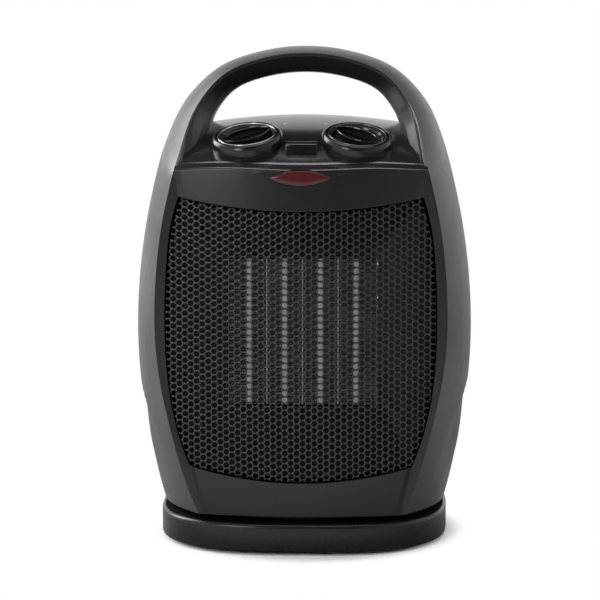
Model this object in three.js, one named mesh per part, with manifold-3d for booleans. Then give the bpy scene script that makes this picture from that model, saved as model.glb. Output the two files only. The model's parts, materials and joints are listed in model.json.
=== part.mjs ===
// Ceramic (PTC) fan heater with a carrying handle, two rotary controls and an oscillating base.
// Units are millimetres, +Z is up, the outlet grille faces -Y, and the origin is on the floor
// below the middle of the heater, on the axis about which the body swings over its base.
import * as THREE from "three";
import { mergeVertices } from "three/addons/utils/BufferGeometryUtils.js";
import Module from "manifold-3d";

const wasm = await Module();
wasm.setup();

// ---------------------------------------------------------------- driving dimensions
const GAP = 0.3; // assembly clearance between neighbouring pieces
const WALL = 2.4; // moulded wall
const BODY_Z0 = 19; // lower edge of the swinging body
const BASE_TOP = 15.7; // upper face of the base deck
const BASE_BOTTOM = 1.8; // lower edge of the base skirt
const BASE_HALF_W = 75.3;
const BASE_HALF_D = 71.2;
const BASE_POWER = 2.8; // superellipse exponent of the base outline
const DECK = 2.5; // base deck thickness
const DOME = { z: 218.9, y: 22, ry: 394, rx: 650, rear: 3 }; // top dome
// seams between the control panel and the front frame's lip or the rear cover's lip, as y over x
const seamFront = (x) => -60.5 + (x * x) / 430;
const seamRear = (x) => 51 - (x * x) / 300;
const KNOB = { x: 28, y: -38.5, r: 15.9, bezel: 18.5, bore: 16.3, h: 5.6 };
const CRANK = { y: 30, r: 16.5, pin: 2 };
const CORE = { z: 110.5, half: 38.5, front: -36, back: -14 };
const FAN = { z: 108, y0: 2, r: 51 };

// Outer silhouette of the right-hand side, from the lower edge to the top of the handle:
// x, z, front inset, front edge y, rear inset, rear edge y, handle liner depth, edge wall
const STATIONS = [
  [74.2, 19.0, 21.9, -60.1, 18.0, 55.6, 24, 2.4],
  [76.8, 28.7, 20.2, -60.2, 17.5, 55.6, 24, 2.4],
  [79.2, 39.4, 18.8, -60.2, 17.0, 55.5, 24, 2.4],
  [81.5, 50.2, 17.9, -60.3, 16.7, 55.4, 24, 2.4],
  [83.5, 61.0, 17.1, -60.3, 16.4, 55.2, 24, 2.4],
  [85.2, 71.8, 16.2, -60.1, 16.0, 55.0, 24, 2.4],
  [86.6, 82.5, 15.3, -59.8, 15.7, 54.8, 24, 2.4],
  [87.5, 93.5, 14.4, -59.5, 15.4, 54.5, 24, 2.4],
  [88.0, 108.5, 13.4, -59.1, 15.0, 54.2, 23.5, 2.4],
  [87.6, 125.4, 12.7, -58.7, 14.5, 53.8, 23, 2.4],
  [86.4, 141.4, 12.2, -58.3, 14.0, 53.2, 22.5, 2.4],
  [84.4, 157.3, 11.7, -57.9, 13.4, 52.5, 22, 2.4],
  [81.6, 173.2, 11.3, -57.3, 12.6, 51.5, 21.5, 2.4],
  [78.1, 189.0, 11.1, -56.4, 11.8, 50.4, 21, 2.2],
  [75.4, 199.5, 10.9, -54.2, 11.1, 49.5, 20.4, 1.9],
  [72.2, 209.5, 10.2, -42.8, 10.3, 48.2, 19.8, 1.5],
  [68.2, 219.6, 8.8, -28.6, 9.2, 46.4, 18.9, 1.2],
  [62.2, 229.7, 7.2, -16.2, 7.7, 44.4, 17.4, 1.0],
  [57.8, 234.8, 6.2, -10.4, 6.6, 43.3, 16.5, 0.9],
  [52.5, 239.9, 5.2, -5.2, 5.5, 42.4, 15.6, 0.8],
  [44.4, 245.6, 4.1, -0.6, 4.3, 41.7, 14.7, 0.8],
  [36.6, 249.1, 3.4, 1.2, 3.5, 41.3, 14.2, 0.8],
  [26.6, 252.1, 2.9, 2.2, 2.9, 41.1, 13.9, 0.8],
  [14.0, 254.6, 2.6, 2.6, 2.6, 41.0, 13.8, 0.8],
  [0.0, 255.5, 2.5, 2.7, 2.5, 41.0, 13.7, 0.8],
];

// ---------------------------------------------------------------- curve helpers
// Natural cubic spline through (t, y), as a function of t.
function spline(t, y) {
  const n = t.length,
    a = new Array(n).fill(0),
    m = new Array(n).fill(0),
    c = new Array(n).fill(0);
  for (let i = 1; i < n - 1; i++) {
    const h0 = t[i] - t[i - 1],
      h1 = t[i + 1] - t[i],
      s = h0 / (h0 + h1),
      p = s * m[i - 1] + 2;
    m[i] = (s - 1) / p;
    a[i] = ((y[i + 1] - y[i]) / h1 - (y[i] - y[i - 1]) / h0);
    a[i] = ((6 * a[i]) / (h0 + h1) - s * a[i - 1]) / p;
  }
  for (let i = n - 2; i >= 0; i--) c[i] = m[i] * c[i + 1] + a[i];
  return (x) => {
    let i = 0;
    while (i < n - 2 && x > t[i + 1]) i++;
    const h = t[i + 1] - t[i],
      A = (t[i + 1] - x) / h,
      B = 1 - A;
    return (
      A * y[i] +
      B * y[i + 1] +
      (((A ** 3 - A) * c[i] + (B ** 3 - B) * c[i + 1]) * h * h) / 6
    );
  };
}

// The whole outline runs from the right foot (s = 0) over the handle (s = 1) to the left foot (s = 2).
const OUTLINE = (() => {
  const half = STATIONS.map((r) => [...r]),
    all = [
      ...half,
      ...half
        .slice(0, -1)
        .reverse()
        .map((r) => [-r[0], ...r.slice(1)]),
    ],
    t = [0];
  for (let i = 1; i < all.length; i++)
    t.push(
      t[i - 1] +
        Math.hypot(all[i][0] - all[i - 1][0], all[i][1] - all[i - 1][1]),
    );
  const top = t[half.length - 1],
    u = t.map((v) => v / top);
  return [0, 1, 2, 3, 4, 5, 6, 7].map((k) =>
    spline(
      u,
      all.map((r) => r[k]),
    ),
  );
})();

const smooth = (a, b, x) => {
  const t = Math.min(1, Math.max(0, (x - a) / (b - a)));
  return t * t * (3 - 2 * t);
};
const lerp = THREE.MathUtils.lerp;

// Inward direction of the outline in the XZ plane: level on the body, square to the outline on the handle.
function inward(s) {
  const e = 1e-3,
    dx = OUTLINE[0](Math.min(2, s + e)) - OUTLINE[0](Math.max(0, s - e)),
    dz = OUTLINE[1](Math.min(2, s + e)) - OUTLINE[1](Math.max(0, s - e)),
    l = Math.hypot(dx, dz),
    k = smooth(150, 215, OUTLINE[1](s)),
    side = s <= 1 ? 1 : -1,
    n = new THREE.Vector2(
      lerp(-side, -dz / l, k),
      lerp(0, dx / l, k),
    );
  return n.normalize();
}

// Outer surface of the band at outline position s; v runs from the front edge (0) to the rear edge (1).
const CROWN = 2.2;
function station(s) {
  const [x, z, df, yf, dr, yr, di, te] = OUTLINE.map((f) => f(s));
  return { x, z, df, yf, dr, yr, di, te, n: inward(s) };
}
function bandInset(q, v) {
  const c = Math.abs(2 * v - 1);
  return (v < 0.5 ? q.df : q.dr) * c ** CROWN;
}
function bandWall(q, v) {
  return lerp(WALL + 0.4, q.te, Math.abs(2 * v - 1) ** 2);
}
function onBand(q, v, depth) {
  return new THREE.Vector3(
    q.x + q.n.x * depth,
    lerp(q.yf, q.yr, v),
    q.z + q.n.y * depth,
  );
}

// Outlet face and rear face as y over (x, z), and the dome as z over (x, y).
const faceY = (x, z) => -72 + (z - 107) ** 2 / 1400 + (x * x) / 430;
const rearY = (x, z) => 72 - (z - 100) ** 2 / 1150 - (x * x) / 300;
const domeZ = (x, y) =>
  DOME.z -
  ((y - DOME.y) ** 2 / DOME.ry) * (y > DOME.y ? DOME.rear : 1) -
  (x * x) / DOME.rx;

// Half-width of the front frame at height z (its edge lies on the band's front edge).
const edgeX = (() => {
  const zs = [],
    xs = [];
  for (let i = 0; i <= 60; i++) {
    const q = station((i / 60) * 0.82);
    zs.push(q.z + q.n.y * q.df);
    xs.push(q.x + q.n.x * q.df);
  }
  return spline(zs, xs);
})();
const rearEdgeX = (() => {
  const zs = [],
    xs = [];
  for (let i = 0; i <= 60; i++) {
    const q = station((i / 60) * 0.86);
    zs.push(q.z + q.n.y * q.dr);
    xs.push(q.x + q.n.x * q.dr);
  }
  return spline(zs, xs);
})();

// ---------------------------------------------------------------- solid helpers
function solid(geometry) {
  const g = geometry.clone();
  for (const k of Object.keys(g.attributes))
    if (k !== "position") g.deleteAttribute(k);
  const m = mergeVertices(g, 1e-4);
  return new wasm.Manifold(
    new wasm.Mesh({
      numProp: 3,
      vertProperties: new Float32Array(m.attributes.position.array),
      triVerts: new Uint32Array(m.index.array),
    }),
  );
}
function geometryOf(s) {
  const m = s.getMesh(),
    g = new THREE.BufferGeometry();
  g.setAttribute(
    "position",
    new THREE.BufferAttribute(new Float32Array(m.vertProperties), 3),
  );
  g.setIndex(new THREE.BufferAttribute(new Uint32Array(m.triVerts), 1));
  return g;
}
// A closed BufferGeometry from a list of points and faces; turned inside out if its volume is negative.
function closed(points, faces) {
  let v = 0;
  for (const [a, b, c] of faces)
    v += points[a].dot(points[b].clone().cross(points[c]));
  if (v < 0) faces = faces.map(([a, b, c]) => [a, c, b]);
  const g = new THREE.BufferGeometry().setFromPoints(points);
  g.setIndex(faces.flat());
  return g;
}
// Two matching grids of points, the outer and the inner face of one moulded wall.
function wall(nu, nv, outer, inner) {
  const p = [],
    f = [],
    w = nv + 1,
    layer = (nu + 1) * w;
  for (const fn of [outer, inner])
    for (let i = 0; i <= nu; i++)
      for (let j = 0; j <= nv; j++) p.push(fn(i / nu, j / nv));
  const quad = (a, b, c, d) => f.push([a, b, c], [a, c, d]);
  for (let i = 0; i < nu; i++)
    for (let j = 0; j < nv; j++) {
      const a = i * w + j;
      quad(a, a + w, a + w + 1, a + 1);
      quad(layer + a, layer + a + 1, layer + a + w + 1, layer + a + w);
    }
  for (let i = 0; i < nu; i++) {
    const a = i * w,
      b = i * w + nv;
    quad(a, layer + a, layer + a + w, a + w);
    quad(b, b + w, layer + b + w, layer + b);
  }
  for (let j = 0; j < nv; j++) {
    const a = j,
      b = nu * w + j;
    quad(a, a + 1, layer + a + 1, layer + a);
    quad(b, layer + b, layer + b + 1, b + 1);
  }
  return closed(p, f);
}
// A stack of rings with the same number of points, closed by a fan at each end.
function stack(rings) {
  const n = rings[0].length,
    p = rings.flat(),
    f = [];
  for (let r = 0; r < rings.length - 1; r++)
    for (let i = 0; i < n; i++) {
      const a = r * n + i,
        b = r * n + ((i + 1) % n);
      f.push([a, b, b + n], [a, b + n, a + n]);
    }
  const middle = (ring) =>
    ring
      .reduce((m, q) => m.add(q), new THREE.Vector3())
      .divideScalar(ring.length);
  const low = p.push(middle(rings[0])) - 1,
    high = p.push(middle(rings[rings.length - 1])) - 1,
    last = (rings.length - 1) * n;
  for (let i = 0; i < n; i++) {
    f.push([low, (i + 1) % n, i]);
    f.push([high, last + i, last + ((i + 1) % n)]);
  }
  return closed(p, f);
}
const box = (w, d, h, x, y, z) =>
  new THREE.BoxGeometry(w, d, h).translate(x, y, z + h / 2);
const rod = (r, h, x, y, z, n = 24) =>
  new THREE.CylinderGeometry(r, r, h, n)
    .rotateX(Math.PI / 2)
    .translate(x, y, z + h / 2);
// Profile [r, z] pairs turned about the Z axis.
const turned = (profile, n = 32) =>
  new THREE.LatheGeometry(
    profile.map(([r, z]) => new THREE.Vector2(r, z)),
    n,
  ).rotateX(Math.PI / 2);
const turnedSolid = (profile, n = 32) => {
  const s = solid(turned(profile, n));
  return s.volume() < 0 ? solid(turned([...profile].reverse(), n)) : s;
};
const shape = (pts) => new THREE.Shape(pts.map(([x, y]) => new THREE.Vector2(x, y)));
// Shape drawn in (x, z), extruded along +Y from y0.
const plateXZ = (s, y0, depth) =>
  new THREE.ExtrudeGeometry(s, { depth, bevelEnabled: false, steps: 1 })
    .rotateX(Math.PI / 2)
    .translate(0, y0 + depth, 0);
const plateXY = (s, z0, depth) =>
  new THREE.ExtrudeGeometry(s, { depth, bevelEnabled: false, steps: 1 }).translate(0, 0, z0);
function superellipse(a, b, n, z, count = 40) {
  const r = [];
  for (let i = 0; i < count; i++) {
    const t = (i / count) * 2 * Math.PI,
      c = Math.cos(t),
      s = Math.sin(t);
    r.push(
      new THREE.Vector3(
        a * Math.sign(c) * Math.abs(c) ** (2 / n),
        b * Math.sign(s) * Math.abs(s) ** (2 / n),
        z,
      ),
    );
  }
  return r;
}

const heater = new THREE.Group();
heater.name = "ceramic_heater";
const finish = {};
for (const [k, c, r, m] of [
  ["shell_satin", 0x2b2c2e, 0.42, 0],
  ["face_black", 0x17181a, 0.35, 0],
  ["gloss_black", 0x0c0c0d, 0.15, 0],
  ["mesh_black", 0x141415, 0.4, 0],
  ["rubber", 0x151515, 0.9, 0],
  ["lens_red", 0x4a2026, 0.2, 0],
  ["nylon", 0xd9d6cc, 0.5, 0],
  ["heat_plastic", 0x1c1b1a, 0.6, 0],
  ["aluminium", 0x9a9b9d, 0.35, 1],
  ["ceramic", 0xb9b6ae, 0.7, 0],
  ["steel", 0x8f9194, 0.35, 1],
  ["laminate", 0x5d5f63, 0.45, 1],
  ["copper", 0x9a4f25, 0.35, 1],
  ["switch_body", 0x1e2022, 0.5, 0],
])
  finish[k] = new THREE.MeshStandardMaterial({ name: k, color: c, roughness: r, metalness: m });

function add(name, geometry, material, parent = heater) {
  const g = geometry.isBufferGeometry ? geometry : geometryOf(geometry);
  g.computeVertexNormals();
  const mesh = new THREE.Mesh(g, finish[material]);
  mesh.name = name;
  parent.add(mesh);
  return mesh;
}

// ---------------------------------------------------------------- base
{
  const skirt = solid(
      stack([
        superellipse(BASE_HALF_W, BASE_HALF_D, BASE_POWER, BASE_BOTTOM),
        superellipse(BASE_HALF_W, BASE_HALF_D, BASE_POWER, BASE_TOP - 1.2),
        superellipse(BASE_HALF_W - 0.5, BASE_HALF_D - 0.5, BASE_POWER, BASE_TOP - 0.4),
        superellipse(BASE_HALF_W - 1.4, BASE_HALF_D - 1.4, BASE_POWER, BASE_TOP),
      ]),
    ),
    hollow = solid(
      stack([
        superellipse(BASE_HALF_W - WALL, BASE_HALF_D - WALL, BASE_POWER, 0),
        superellipse(BASE_HALF_W - WALL, BASE_HALF_D - WALL, BASE_POWER, BASE_TOP - DECK),
      ]),
    );
  let shell = skirt.subtract(hollow);
  // radial guide slot for the crank pin, wider than the pin by the linkage's free play
  const slot = shape([
    [-3.3, 12.2],
    [3.3, 12.2],
    [3.3, 50.8],
    [-3.3, 50.8],
  ]);
  shell = shell
    .subtract(solid(rod(8.4, 20, 0, 0, 5, 32)))
    .subtract(solid(plateXY(slot, 8, 12)));
  // screw bosses
  for (const [x, y] of [
    [44, 52],
    [-44, 52],
    [44, -52],
    [-44, -52],
  ])
    shell = shell
      .add(solid(rod(3.6, BASE_TOP - DECK - 4.1 + 0.5, x, y, 4.1, 16)))
      .subtract(solid(rod(1.55, 8.2, x, y, 4, 12)));
  // notch for the cord gland at the back
  shell = shell.subtract(
    solid(new THREE.CylinderGeometry(5.6, 5.6, 12, 24).translate(0, BASE_HALF_D, 8.4)),
  );
  add("base_shell", shell, "face_black");

  let plate = solid(
    stack([
      superellipse(BASE_HALF_W - WALL - GAP, BASE_HALF_D - WALL - GAP, BASE_POWER, BASE_BOTTOM),
      superellipse(BASE_HALF_W - WALL - GAP, BASE_HALF_D - WALL - GAP, BASE_POWER, BASE_BOTTOM + 2),
    ]),
  );
  for (const [x, y] of [
    [44, 52],
    [-44, 52],
    [44, -52],
    [-44, -52],
  ])
    plate = plate.subtract(solid(rod(1.7, 6, x, y, 0, 12)));
  plate = plate
    .subtract(solid(rod(3.5, 6, -34, -14, 0, 20)))
    .subtract(
      solid(new THREE.CylinderGeometry(5.6, 5.6, 12, 24).rotateY(0.1).translate(0, BASE_HALF_D, 8.4)),
    );
  add("base_plate", plate, "face_black");

  [
    ["foot_front_left", -54, -36],
    ["foot_front_right", 54, -36],
    ["foot_rear_left", -54, 36],
    ["foot_rear_right", 54, 36],
  ].forEach(([n, x, y]) =>
    add(
      n,
      turnedSolid(
        [
          [0, 0],
          [6.2, 0],
          [7, 0.6],
          [7, BASE_BOTTOM - GAP],
          [0, BASE_BOTTOM - GAP],
        ],
        20,
      ).translate([x, y, 0]),
      "rubber",
    ),
  );
  [
    [44, 52],
    [-44, 52],
    [44, -52],
    [-44, -52],
  ].forEach(([x, y], i) =>
    add(
      "base_screw_" + (i + 1),
      turnedSolid(
        [
          [0, 0.5],
          [2.4, 0.5],
          [2.9, 0.9],
          [2.9, 1.5],
          [1.25, 1.5],
          [1.25, 10.4],
          [0.5, 11.6],
          [0, 11.6],
        ],
        10,
      ).translate([x, y, 0]),
      "steel",
    ),
  );
  add(
    "glide_ring",
    turnedSolid(
      [
        [54, BASE_TOP + GAP],
        [58.5, BASE_TOP + GAP],
        [58.5, BODY_Z0 - 0.3 - GAP],
        [54, BODY_Z0 - 0.3 - GAP],
        [54, BASE_TOP + GAP],
      ],
      36,
    ),
    "nylon",
  );
  // cord gland: a flanged bush clipped into the back of the base
  const gland = turnedSolid(
    [
      [3.7, -5.5],
      [5.2, -5.5],
      [5.2, 0.3],
      [6.6, 0.3],
      [6.6, 0.6],
      [5.8, 1.2],
      [3.7, 1.2],
      [3.7, -5.5],
    ],
    24,
  );
  add(
    "cord_gland",
    new THREE.BufferGeometry().copy(geometryOf(gland)).rotateX(-Math.PI / 2).translate(0, BASE_HALF_D - 0.2, 8.4),
    "rubber",
  );
  // tip-over switch: case with a lever reaching over the plunger
  add(
    "tip_switch",
    solid(box(17.8, 10, 6.3, -34 + 14.5, -14, 4.2))
      .add(solid(box(20, 4.2, 0.7, -34 + 6.2, -14, 10.4))),
      "switch_body",
  );
  add(
    "tip_plunger",
    turnedSolid(
      [
        [0, 0],
        [2.4, 0],
        [3.1, 0.7],
        [3.1, 8.3],
        [4.6, 8.3],
        [4.6, 9.3],
        [1.6, 9.3],
        [1.6, 10.0],
        [0, 10.0],
      ],
      20,
    ).translate([-34, -14, 0]),
    "nylon",
  );
}

// ---------------------------------------------------------------- side band and handle
{
  const band = solid(
    wall(
      46,
      8,
      (a, v) => {
        const q = station(a * 2);
        return onBand(q, v, bandInset(q, v));
      },
      (a, v) => {
        const q = station(a * 2);
        return onBand(q, v, bandInset(q, v) + bandWall(q, v));
      },
    ),
  );
  // the front and rear covers are lids, so the band stops short of them
  add(
    "side_band",
    band
      .subtract(frontLid(GAP + 0.2, 6, 10, 14))
      .subtract(rearLid(GAP + 0.3, 6, 10, 14))
      .decompose()
      .sort((a, b) => b.volume() - a.volume())[0],
    "shell_satin",
  );
}

// everything under the dome, as a cutter
function underDome(rise) {
  return solid(
    wall(
      12,
      18,
      (a, b) => {
        const x = lerp(-90, 90, a),
          y = lerp(-90, 90, b);
        return new THREE.Vector3(x, y, domeZ(x, y) + rise);
      },
      (a, b) => new THREE.Vector3(lerp(-90, 90, a), lerp(-90, 90, b), 120),
    ),
  );
}
{
  const power = 2.6,
    from = 0.66;
  const linerDepth = (q, v) => {
    const c = Math.abs(2 * v - 1),
      d0 = (v < 0.5 ? q.df : q.dr) + q.te + GAP + 1.1;
    return d0 + (q.di - d0) * (1 - c ** power) ** (1 / power);
  };
  // v is bunched towards the two edges, where the section turns quickly
  const bunch = (b) => 0.5 - 0.5 * Math.cos(Math.PI * b);
  const liner = solid(
    wall(
      34,
      12,
      (a, b) => {
        const q = station(lerp(from, 2 - from, a)),
          v = bunch(b);
        return onBand(q, v, linerDepth(q, v));
      },
      (a, b) => {
        const q = station(lerp(from, 2 - from, a)),
          v = bunch(b);
        return onBand(q, v, bandInset(q, v) + bandWall(q, v) + GAP + 0.35);
      },
    ),
  ).subtract(underDome(GAP));
  const parts = liner.decompose().sort((a, b) => b.volume() - a.volume());
  add("handle_liner", parts[0], "gloss_black");
}

// ---------------------------------------------------------------- front frame and grille
// Grille opening: a barrel outline with bowed top and bottom edges.
const sideX = spline(
  [36, 44.3, 52.6, 65, 78.6, 96, 115, 130.5, 148, 166.4, 183.2, 192],
  [54.2, 57.2, 60.4, 64.2, 67.0, 69.0, 69.8, 69.7, 68.8, 66.9, 62.6, 59.6],
);
const opening = (a, b, grow) => {
  const zc = lerp(44.3 - grow, 183.2 + grow, b),
    x = a * (sideX(zc) + grow);
  return [x, zc - (1 - a * a) * lerp(7.5, 6.4, b)];
};
function openingOutline(grow, n = 14) {
  const p = [];
  for (let i = 0; i < n; i++) p.push(opening(lerp(-1, 1, i / n), 0, grow));
  for (let i = 0; i < n; i++) p.push(opening(1, i / n, grow));
  for (let i = 0; i < n; i++) p.push(opening(lerp(1, -1, i / n), 1, grow));
  for (let i = 0; i < n; i++) p.push(opening(-1, 1 - i / n, grow));
  return p;
}
function vesica(half, height, n = 9) {
  // pointed oval of two arcs
  const r = (half * half + height * height) / (2 * height),
    t = Math.asin(half / r),
    p = [];
  for (let i = 0; i < n; i++) {
    const a = lerp(-t, t, i / n);
    p.push([r * Math.sin(a), r * Math.cos(a) - (r - height)]);
  }
  for (let i = 0; i < n; i++) {
    const a = lerp(t, -t, i / n);
    p.push([r * Math.sin(a), -(r * Math.cos(a) - (r - height))]);
  }
  return p;
}
const LENS = { z: 193.8, half: 16, height: 4.05 };
// Front lid: up the face, round the top edge, back along the dome to the seam. `grow` thickens it
// on both faces and `wide` widens it, for cutting its neighbours clear.
function frontLid(grow, wide, nu, nv) {
  const r = 3.2,
    b1 = 0.72,
    b2 = 0.86;
  const profile = (x, b) => {
    const zt = domeZ(x, faceY(x, 198)),
      yTop = faceY(x, zt),
      z0 = zt - r,
      y0 = faceY(x, z0),
      y2 = yTop + r;
    if (b <= b1) {
      const z = lerp(BODY_Z0 - (grow ? 1 : 0), z0, b / b1);
      return new THREE.Vector3(x, faceY(x, z), z);
    }
    if (b <= b2) {
      const t = (b - b1) / (b2 - b1);
      return new THREE.Vector3(
        x,
        (1 - t) ** 2 * y0 + 2 * t * (1 - t) * yTop + t * t * y2,
        (1 - t) ** 2 * z0 + 2 * t * (1 - t) * zt + t * t * domeZ(x, y2),
      );
    }
    const y = lerp(y2, seamFront(x) - GAP / 2 + (grow ? 0.15 : 0), (b - b2) / (1 - b2));
    return new THREE.Vector3(x, y, domeZ(x, y));
  };
  return lid(profile, (z) => edgeX(Math.min(z, 197.5)), grow, wide, nu, nv, 1, b2);
}
function rearLid(grow, wide, nu, nv) {
  const r = 6,
    b1 = 0.74,
    b2 = 0.88;
  const profile = (x, b) => {
    const zt = domeZ(x, rearY(x, 205)),
      yTop = rearY(x, zt),
      z0 = zt - r,
      y0 = rearY(x, z0),
      y2 = yTop - r;
    if (b <= b1) {
      const z = lerp(BODY_Z0 - (grow ? 1 : 0), z0, b / b1);
      return new THREE.Vector3(x, rearY(x, z), z);
    }
    if (b <= b2) {
      const t = (b - b1) / (b2 - b1);
      return new THREE.Vector3(
        x,
        (1 - t) ** 2 * y0 + 2 * t * (1 - t) * yTop + t * t * y2,
        (1 - t) ** 2 * z0 + 2 * t * (1 - t) * zt + t * t * domeZ(x, y2),
      );
    }
    const y = lerp(y2, seamRear(x) + GAP / 2 - (grow ? 0.15 : 0), (b - b2) / (1 - b2));
    return new THREE.Vector3(x, y, domeZ(x, y));
  };
  return lid(profile, (z) => rearEdgeX(Math.min(z, 199)), grow, wide, nu, nv, -1, b2);
}
function lid(profile, halfWidth, grow, wide, nu, nv, into, flat) {
  const at = (a, b) => {
    let p = profile(0, b);
    for (let i = 0; i < 3; i++)
      p = profile(lerp(-1, 1, a) * (halfWidth(p.z) + wide), b);
    return p;
  };
  const offset = (a, b, d) => {
    const p = at(a, b),
      e = 1e-3,
      n = at(Math.min(1, a + e), b)
        .sub(at(Math.max(0, a - e), b))
        .cross(at(a, Math.min(1, b + e)).sub(at(a, Math.max(0, b - e))))
        .normalize();
    if (n.y * into < 0) n.negate();
    if (b > flat) n.set(0, 0, -1);
    const q = p.clone().addScaledVector(n, d);
    if (b === 0) q.z = p.z;
    q.x = p.x;
    return q;
  };
  return solid(
    wall(
      nu,
      nv,
      (a, b) => offset(a, b, -grow),
      (a, b) => offset(a, b, WALL + grow),
    ),
  );
}
{
  let frame = frontLid(0, 0, 18, 22);
  frame = frame
    .subtract(solid(plateXZ(shape(openingOutline(0)), -90, 60)))
    .subtract(
      solid(
        plateXZ(
          shape(vesica(LENS.half + 0.3, LENS.height + 0.3).map(([x, z]) => [x, z + LENS.z])),
          -90,
          60,
        ),
      ),
    );
  frame = frame.decompose().sort((a, b) => b.volume() - a.volume())[0];
  add("front_frame", frame, "face_black");

  add(
    "front_grille",
    wall(
      12,
      12,
      (a, b) => {
        const [x, z] = opening(lerp(-1, 1, a), b, -0.35);
        return new THREE.Vector3(x, faceY(x, z) + 1.0, z);
      },
      (a, b) => {
        const [x, z] = opening(lerp(-1, 1, a), b, -0.35);
        return new THREE.Vector3(x, faceY(x, z) + 2.4, z);
      },
    ),
    "mesh_black",
  );
  const y0 = faceY(0, LENS.z);
  add(
    "indicator_lens",
    plateXZ(
      shape(vesica(LENS.half, LENS.height).map(([x, z]) => [x, z + LENS.z])),
      y0 - 0.2,
      3.2,
    ),
    "lens_red",
  );
  add(
    "neon_lamp",
    geometryOf(
      turnedSolid(
        [
          [0, 0],
          [1.6, 0.5],
          [2.9, 2.2],
          [3, 8.6],
          [2.2, 9.4],
          [0, 9.4],
        ],
        16,
      ),
    )
      .rotateX(-Math.PI / 2)
      .translate(0, y0 + 4, LENS.z - 1.5),
    "lens_red",
  );
}

// ---------------------------------------------------------------- control panel and controls
const panelHalf = spline([-60, -45, -20, 0, 22, 36, 46], [59.4, 61.2, 64.2, 65.0, 65.0, 63, 60.6]);
{
  const outer = (a, b) => {
    const x = lerp(-1, 1, a) * panelHalf(lerp(-56, 46, b)),
      y = lerp(seamFront(x) + GAP / 2, seamRear(x) - GAP / 2, b);
    return new THREE.Vector3(x, y, domeZ(x, y));
  };
  const inner = (a, b) => {
    const p = outer(a, b);
    return new THREE.Vector3(p.x, p.y, p.z - WALL);
  };
  let panel = solid(wall(12, 14, outer, inner));
  for (const sx of [-1, 1]) {
    const [o, q] = knobFrame(sx);
    const hole = solid(rod(4.4, 20, 0, 0, -10, 20));
    panel = panel.subtract(placeSolid(hole, o, q));
  }
  panel = panel.subtract(solid(box(17.4, 19.6, 20, 0, -46.0, 196)));
  add("control_panel", panel, "gloss_black");
}
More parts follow.
